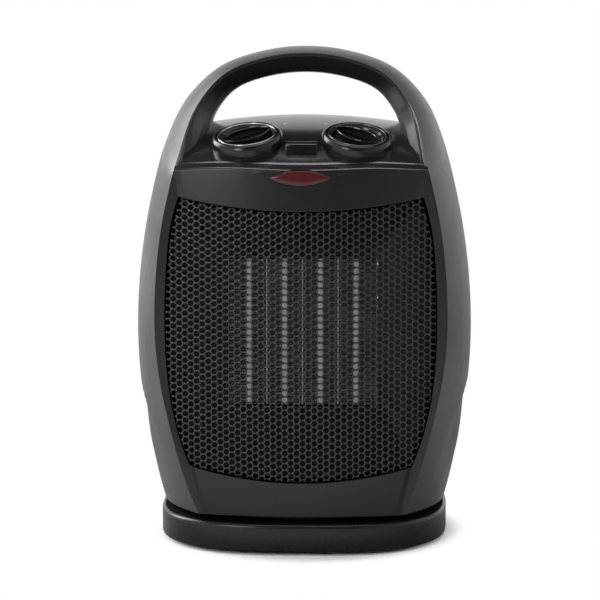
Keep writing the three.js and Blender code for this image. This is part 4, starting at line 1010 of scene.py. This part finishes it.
# ------------------------------------------------------------------ push button
def build_button():
    w = 8.3
    yf, yb = -52.6, -37.2
    prof = rounded([(yf, 201.2), (yb, 201.2), (yb, 210.0), (yf + 4.6, 210.55), (yf + 1.0, 209.5)], [0, 0, 0.9, 3.0, 1.2], 6)
    secs = []
    for x, ins in ((-w, 0.7), (-w + 0.1, 0.35), (-w + 0.35, 0.12), (-w + 0.7, 0.0), (w - 0.7, 0.0), (w - 0.35, 0.12), (w - 0.1, 0.35), (w, 0.7)):
        c = np.array(prof)
        nxt, prev = np.roll(c, -1, 0), np.roll(c, 1, 0)
        t = nxt - prev
        t /= np.maximum(np.linalg.norm(t, axis=1), 1e-9)[:, None]
        nrm = np.stack([t[:, 1], -t[:, 0]], 1)
        p = c - nrm * ins
        secs.append([(x, y, z) for y, z in p])
    return loft("swing_button_visual", secs, sharp=45)


button = build_button()
finish_piece(button, "swing_button", M["grip"], ["swing_button"])

# ------------------------------------------------------------------ base
def superellipse(a, b, n, z, count=240):
    out = []
    for i in range(count):
        t = 2 * math.pi * i / count
        c, s = math.cos(t), math.sin(t)
        out.append((a * math.copysign(abs(c) ** (2 / n), c), b * math.copysign(abs(s) ** (2 / n), s), z))
    return out


def build_base():
    a, b, n = BASE_HALF_W, BASE_HALF_D, BASE_POWER
    top = BASE_TOP
    secs = []
    prof = [(3.0, BASE_BOTTOM + 1.0), (2.4, BASE_BOTTOM), (0.5, BASE_BOTTOM), (0.15, BASE_BOTTOM + 0.25), (0.0, BASE_BOTTOM + 0.8),
            (0.0, top - 2.0), (0.12, top - 1.3), (0.45, top - 0.7), (0.95, top - 0.25), (1.6, top - 0.03), (2.4, top), (8.0, top), (20.0, top), (45.0, top)]
    for ins, z in prof:
        secs.append(superellipse(a - ins, b - ins, n, z))
    return secs


base = loft("base_shell_visual", build_base(), caps=False, sharp=50)
finish_piece(base, "base", M["base"], ["base_shell"])
# the deck inside the rounded rim, under the body, is coloured darker and duller than the base: painted shade in the gap
# under the body
base.data.materials.append(M["deck"])
for poly in base.data.polygons:
    if poly.normal.z > 0.995 and poly.center.z > (BASE_TOP - 0.02) * MM:
        poly.material_index = 1


# ------------------------------------------------------------------ rear cover
def build_rear(nx=110, nz=150):
    r = 6.0
    b1, b2 = 0.74, 0.88

    def profile(x, b):
        zt = float(dome_z(x, rear_y(x, 205)))
        y_top = rear_y(x, zt)
        z0 = zt - r
        y0 = rear_y(x, z0)
        y2 = y_top - r
        if b <= b1:
            z = lerp(BODY_Z0, z0, b / b1)
            return x, rear_y(x, z), z
        if b <= b2:
            t = (b - b1) / (b2 - b1)
            return (x, (1 - t) ** 2 * y0 + 2 * t * (1 - t) * y_top + t * t * y2,
                    (1 - t) ** 2 * z0 + 2 * t * (1 - t) * zt + t * t * float(dome_z(x, y2)))
        y = lerp(y2, seam_rear(x) + GAP / 2, (b - b2) / (1 - b2))
        return x, y, float(dome_z(x, y))

    v = []
    for i in range(nx + 1):
        for j in range(nz + 1):
            b = j / nz
            p = profile(0, b)
            for _ in range(3):
                p = profile(lerp(-1, 1, i / nx) * float(rear_edge_x(min(p[2], 199))), b)
            v.append(p)
    return v, grid_faces(nx, nz)


rv, rf = build_rear()
rear = mesh_object("rear_cover_visual", rv, rf, True, 60)
bm = bmesh.new()
bm.from_mesh(rear.data)
if sum(f.normal.y * f.calc_area() for f in bm.faces) < 0:
    bmesh.ops.reverse_faces(bm, faces=bm.faces)
bm.to_mesh(rear.data)
bm.free()
sol = rear.modifiers.new("thick", "SOLIDIFY")
sol.thickness = 2.2 * MM
sol.offset = -1
# intake slots with round ends; the loop over the screw positions cuts no wells
cut_parts = []
R = 48.0
for i in range(-5, 6):
    z = 108 + i * 8.2
    half = math.sqrt(R * R - (i * 8.2) ** 2) - 1.5
    pts = []
    for k in range(13):
        t = -math.pi / 2 + math.pi * k / 12
        pts.append((half - 2.1 + 2.1 * math.cos(t), z + 2.1 * math.sin(t)))
    for k in range(13):
        t = math.pi / 2 + math.pi * k / 12
        pts.append((-half + 2.1 + 2.1 * math.cos(t), z + 2.1 * math.sin(t)))
    secs = [[(x, y, zz) for x, zz in pts] for y in (40.0, 90.0)]
    cut_parts.append(loft("cut", secs))
for x, z in ((52, 176), (-52, 176), (50, 38), (-50, 38)):
    pts = [(x + 4.2 * math.cos(2 * math.pi * k / 32), z + 4.2 * math.sin(2 * math.pi * k / 32)) for k in range(32)]
    y = rear_y(x, z)
cutter = bm_join(cut_parts, "cutter")
bo = rear.modifiers.new("slots", "BOOLEAN")
bo.operation = "DIFFERENCE"
bo.solver = "EXACT"
bo.object = cutter
bv = rear.modifiers.new("edge", "BEVEL")
bv.width = 0.4 * MM
bv.segments = 2
bv.limit_method = "ANGLE"
bv.angle_limit = math.radians(60)
dg = bpy.context.evaluated_depsgraph_get()
nm = bpy.data.meshes.new_from_object(rear.evaluated_get(dg))
rear.modifiers.clear()
rear.data = nm
bpy.data.objects.remove(cutter, do_unlink=True)
finish_piece(rear, "upper_body", M["face"], ["rear_cover"])

# ------------------------------------------------------------------ heating element
def build_fins(name, x0, x1, front, back, z0, z1, pitch=1.72, wall_t=0.16):
    """Corrugated strip folded between two thin walls: a zigzag of level fins."""
    secs = []
    xm0, xm1 = x0 + 0.12, x1 - 0.12
    n = int(round((z1 - z0) / (pitch / 2)))
    step = (z1 - z0) / n
    line = []
    for k in range(n + 1):
        x = xm0 if k % 2 == 0 else xm1
        line.append((x, z0 + k * step))
        line.append((xm1 if k % 2 == 0 else xm0, z0 + k * step)) if False else None
    # square-wave: across, up, back, up
    path = []
    z = z0
    side = 0
    while z < z1 - 1e-6:
        a, b = (xm0, xm1) if side == 0 else (xm1, xm0)
        path += [(a, z + 0.12), (b, z + 0.12 + 0.10)]
        z += pitch / 2
        path += [(b, z - 0.02)]
        side ^= 1
    p = np.array(path)
    d = np.gradient(p, axis=0)
    d /= np.maximum(np.linalg.norm(d, axis=1), 1e-9)[:, None]
    nr = np.stack([-d[:, 1], d[:, 0]], 1) * wall_t / 2
    v, f = [], []
    m = len(p)
    for y in (front, back):
        for s in (1, -1):
            for k in range(m):
                q = p[k] + s * nr[k]
                v.append((q[0], y, q[1]))
    # indices: front+, front-, back+, back-
    F, G, B, C = 0, m, 2 * m, 3 * m
    for k in range(m - 1):
        f.append((F + k, F + k + 1, G + k + 1, G + k))
        f.append((B + k, C + k, C + k + 1, B + k + 1))
        f.append((F + k, B + k, B + k + 1, F + k + 1))
        f.append((G + k, G + k + 1, C + k + 1, C + k))
    return mesh_object(name, v, f, False)


def slab(name, x0, x1, y0, y1, z0, z1, r=0.3):
    pts = rounded([(x0, y0), (x1, y0), (x1, y1), (x0, y1)], r, 3)
    secs = [[(x, y, z) for x, y in pts] for z in (z0, z1)]
    return loft(name, secs, sharp=40)


CORE_Z = 110.5
BARS = (-27.75, -9.25, 9.25, 27.75)
EDGES = (-38.7, *BARS, 38.7)
ZL, ZH = CORE_Z - 38.2, CORE_Z + 38.2
for k, x in enumerate(BARS):
    # bar: the ceramic with one bright electrode strip on its front face
    parts = []
    a = slab("bar_core", x - 1.3, x + 1.3, -34.0, -17.0, ZL, ZH)
    a.data.materials.append(M["ceramic"])
    parts.append(a)
    p = slab("bar_strip", x - 1.38, x + 1.38, -35.0, -34.2, ZL, ZH, 0.15)
    p.data.materials.append(M["strip"])
    parts.append(p)
    bar = bm_join(parts, "ptc_bar_%d_visual" % (k + 1))
    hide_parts("ptc_bar_%d" % (k + 1))
    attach(bar, "upper_body")
for k in range(5):
    x0 = EDGES[k] + (0.3 if k == 0 else 1.65)
    x1 = EDGES[k + 1] - (0.3 if k == 4 else 1.65)
    parts = []
    xm = (x0 + x1) / 2
    spans = [(x0, xm - 0.3), (xm + 0.3, x1)] if 0 < k < 4 else [(x0, x1)]
    for n, (a, b) in enumerate(spans):
        p = build_fins("fins", a, b, -34.6, -17.4, ZL, ZH)
        p.data.materials.append(M["alu"])
        parts.append(p)
    if 0 < k < 4:
        p = slab("mid", xm - 0.26, xm + 0.26, -35.0, -17.0, ZL, ZH, 0.05)
        p.data.materials.append(M["strip"])
        parts.append(p)
    else:
        e = x0 if k == 0 else x1
        p = slab("edge", e - 0.2, e + 0.2, -34.9, -17.0, ZL, ZH, 0.05)
        p.data.materials.append(M["alu"])
        parts.append(p)
    fin = bm_join(parts, "fin_pack_%d_visual" % (k + 1))
    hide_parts("fin_pack_%d" % (k + 1))
    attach(fin, "upper_body")

# ------------------------------------------------------------------ carried-over nodes
BY_SLOT = {
    "shell_satin": "shell", "face_black": "base", "gloss_black": "gloss", "mesh_black": "mesh", "rubber": "rubber",
    "lens_red": "lens", "nylon": "nylon", "heat_plastic": "duct", "aluminium": "alu", "ceramic": "ceramic",
    "steel": "steel", "laminate": "laminate", "copper": "copper", "switch_body": "switch",
}
slot_of = {s["node"]: s["material_slot"] for s in frame["record"]["subparts"]}
for name, ob in frame["nodes"].items():
    mat = M[BY_SLOT[slot_of[name]]]
    for sl in ob.material_slots:
        sl.material = mat
    if not ob.material_slots:
        ob.data.materials.append(mat)

# ------------------------------------------------------------------ studio
def stage_plane(name, size, z, color, rough=0.6):
    me = bpy.data.meshes.new(name)
    s = size / 2
    me.from_pydata([(-s, -s, z), (s, -s, z), (s, s, z), (-s, s, z)], [], [(0, 1, 2, 3)])
    ob = bpy.data.objects.new(name, me)
    COL.objects.link(ob)
    m = plastic(name + "_mat", color, rough, bump=0.0, var=0.02, tint=0.0, spec=0.2)
    # for camera rays the floor glows plain white a little way outside the base: an evenly white floor whose painted
    # fade sets how far the rendered contact shadow reaches
    nt = m.node_tree
    out = next(n for n in nt.nodes if n.type == "OUTPUT_MATERIAL")
    surface = out.inputs[0].links[0].from_socket
    co = nt.nodes.new("ShaderNodeTexCoord")
    sc = nt.nodes.new("ShaderNodeVectorMath")
    sc.operation = "MULTIPLY"
    sc.inputs[1].default_value = (1 / 0.0875, 1 / 0.0935, 0.0)
    ln = nt.nodes.new("ShaderNodeVectorMath")
    ln.operation = "LENGTH"
    mr = nt.nodes.new("ShaderNodeMapRange")
    mr.interpolation_type = "SMOOTHSTEP"
    mr.inputs["From Min"].default_value = 0.82
    mr.inputs["From Max"].default_value = 1.0
    lp = nt.nodes.new("ShaderNodeLightPath")
    mu = nt.nodes.new("ShaderNodeMath")
    mu.operation = "MULTIPLY"
    em = nt.nodes.new("ShaderNodeEmission")
    em.inputs["Color"].default_value = (1, 1, 1, 1)
    em.inputs["Strength"].default_value = 1.0
    mx = nt.nodes.new("ShaderNodeMixShader")
    # painted shade on the floor as the heater sees it (all rays but camera rays): darker overall, and darker still
    # behind it, to the right in front and close beside it
    sep = nt.nodes.new("ShaderNodeSeparateXYZ")
    nt.links.new(co.outputs["Object"], sep.inputs[0])
    far = nt.nodes.new("ShaderNodeVectorMath")
    far.operation = "LENGTH"
    nt.links.new(co.outputs["Object"], far.inputs[0])

    def ramp_of(socket, a, b, lo, hi):
        r = nt.nodes.new("ShaderNodeMapRange")
        r.interpolation_type = "SMOOTHSTEP"
        r.inputs["From Min"].default_value = a
        r.inputs["From Max"].default_value = b
        r.inputs["To Min"].default_value = lo
        r.inputs["To Max"].default_value = hi
        nt.links.new(socket, r.inputs["Value"])
        return r.outputs[0]

    def product(*sockets):
        last = sockets[0]
        for q in sockets[1:]:
            k = nt.nodes.new("ShaderNodeMath")
            k.operation = "MULTIPLY"
            nt.links.new(last, k.inputs[0])
            nt.links.new(q, k.inputs[1])
            last = k.outputs[0]
        return last

    def less(socket):
        k = nt.nodes.new("ShaderNodeMath")
        k.operation = "SUBTRACT"
        k.inputs[0].default_value = 1.0
        nt.links.new(socket, k.inputs[1])
        return k.outputs[0]

    behind = product(ramp_of(sep.outputs[1], 0.02, 0.25, 0.0, 0.62), ramp_of(far.outputs["Value"], 0.8, 2.0, 1.0, 0.0))
    right = product(ramp_of(sep.outputs[0], 0.10, 0.22, 0.0, 0.65), ramp_of(sep.outputs[1], -0.15, -0.05, 1.0, 0.0),
                    ramp_of(far.outputs["Value"], 0.6, 1.2, 1.0, 0.0))
    beside = product(ramp_of(far.outputs["Value"], 0.18, 0.42, 0.60, 0.0), ramp_of(sep.outputs[1], -0.15, -0.06, 0.0, 1.0))
    level = nt.nodes.new("ShaderNodeMath")
    level.operation = "MULTIPLY"
    level.inputs[1].default_value = 0.84
    nt.links.new(product(less(behind), less(right), less(beside)), level.inputs[0])
    df = nt.nodes.new("ShaderNodeBsdfDiffuse")
    nt.links.new(level.outputs[0], df.inputs["Color"])
    seen = nt.nodes.new("ShaderNodeMixShader")
    nt.links.new(lp.outputs["Is Camera Ray"], seen.inputs[0])
    nt.links.new(df.outputs[0], seen.inputs[1])
    nt.links.new(surface, seen.inputs[2])
    surface = seen.outputs[0]
    nt.links.new(co.outputs["Object"], sc.inputs[0])
    nt.links.new(sc.outputs[0], ln.inputs[0])
    nt.links.new(ln.outputs["Value"], mr.inputs["Value"])
    nt.links.new(mr.outputs[0], mu.inputs[0])
    nt.links.new(lp.outputs["Is Camera Ray"], mu.inputs[1])
    nt.links.new(mu.outputs[0], mx.inputs[0])
    nt.links.new(surface, mx.inputs[1])
    nt.links.new(em.outputs[0], mx.inputs[2])
    nt.links.new(mx.outputs[0], out.inputs[0])
    ob.data.materials.append(m)
    return ob


stage_plane("floor", 30.0, -0.0002, (0.93, 0.93, 0.93))

world = bpy.data.worlds.new("studio")
bpy.context.scene.world = world
world.use_nodes = True
wt = world.node_tree
wt.nodes.clear()
w_out = wt.nodes.new("ShaderNodeOutputWorld")
w_bg = wt.nodes.new("ShaderNodeBackground")
w_cam = wt.nodes.new("ShaderNodeBackground")
w_mix = wt.nodes.new("ShaderNodeMixShader")
w_lp = wt.nodes.new("ShaderNodeLightPath")
w_cam.inputs[0].default_value = (1, 1, 1, 1)
w_cam.inputs[1].default_value = 1.0
wt.links.new(w_lp.outputs["Is Camera Ray"], w_mix.inputs[0])
wt.links.new(w_bg.outputs[0], w_mix.inputs[1])
wt.links.new(w_cam.outputs[0], w_mix.inputs[2])
wt.links.new(w_mix.outputs[0], w_out.inputs[0])
w_co = wt.nodes.new("ShaderNodeTexCoord")
w_sep = wt.nodes.new("ShaderNodeSeparateXYZ")
wt.links.new(w_co.outputs["Generated"], w_sep.inputs[0])
w_last = None


def lobe(axis, lo, hi, gain):
    """Adds light towards one side of the studio."""
    global w_last
    mr = wt.nodes.new("ShaderNodeMapRange")
    mr.interpolation_type = "SMOOTHSTEP"
    mr.inputs["From Min"].default_value = lo
    mr.inputs["From Max"].default_value = hi
    mr.inputs["To Min"].default_value = 0.0
    mr.inputs["To Max"].default_value = gain
    wt.links.new(w_sep.outputs[axis], mr.inputs["Value"])
    if w_last is None:
        w_last = mr.outputs[0]
    else:
        ad = wt.nodes.new("ShaderNodeMath")
        ad.operation = "ADD"
        wt.links.new(w_last, ad.inputs[0])
        wt.links.new(mr.outputs[0], ad.inputs[1])
        w_last = ad.outputs[0]


def studio(front, back, left, right, top):
    base = wt.nodes.new("ShaderNodeValue")
    base.outputs[0].default_value = front
    global w_last
    w_last = base.outputs[0]
    lobe(1, *back)
    lobe(0, *left)
    lobe(0, *right)
    lobe(2, *top)
    lobe(2, 0.35, 0.62, -0.10)
    lobe(0, -0.15, -0.55, 0.55)
    lobe(0, 0.15, 0.60, 0.62)
    wt.links.new(w_last, w_bg.inputs[1])


# (from, to, gain) of each lobe, over the direction's component along that axis
studio(0.16, back=(0.74, 0.95, 1.0), left=(-0.50, -0.92, 0.85), right=(0.60, 1.0, 0.60), top=(0.86, 1.0, 1.0))


def area(name, loc, size, power, look=(0, 0, 0.13), size_y=None):
    d = bpy.data.lights.new(name, "AREA")
    d.shape = "RECTANGLE"
    d.size, d.size_y = size, size_y or size
    d.energy = power
    o = bpy.data.objects.new(name, d)
    o.location = loc
    o.rotation_euler = (Vector(look) - Vector(loc)).to_track_quat("-Z", "Y").to_euler()
    COL.objects.link(o)
    return o


area("left_box", (-1.5, 0.8, 1.15), 1.1, 37, size_y=1.3)
area("right_box", (1.5, 0.9, 1.0), 0.7, 1.5, size_y=1.2)
area("top_box", (0.0, 0.25, 2.2), 1.4, 24)
area("front_left", (-1.0, -1.7, 0.95), 0.7, 14)

bpy.context.scene.view_settings.view_transform = "Standard"
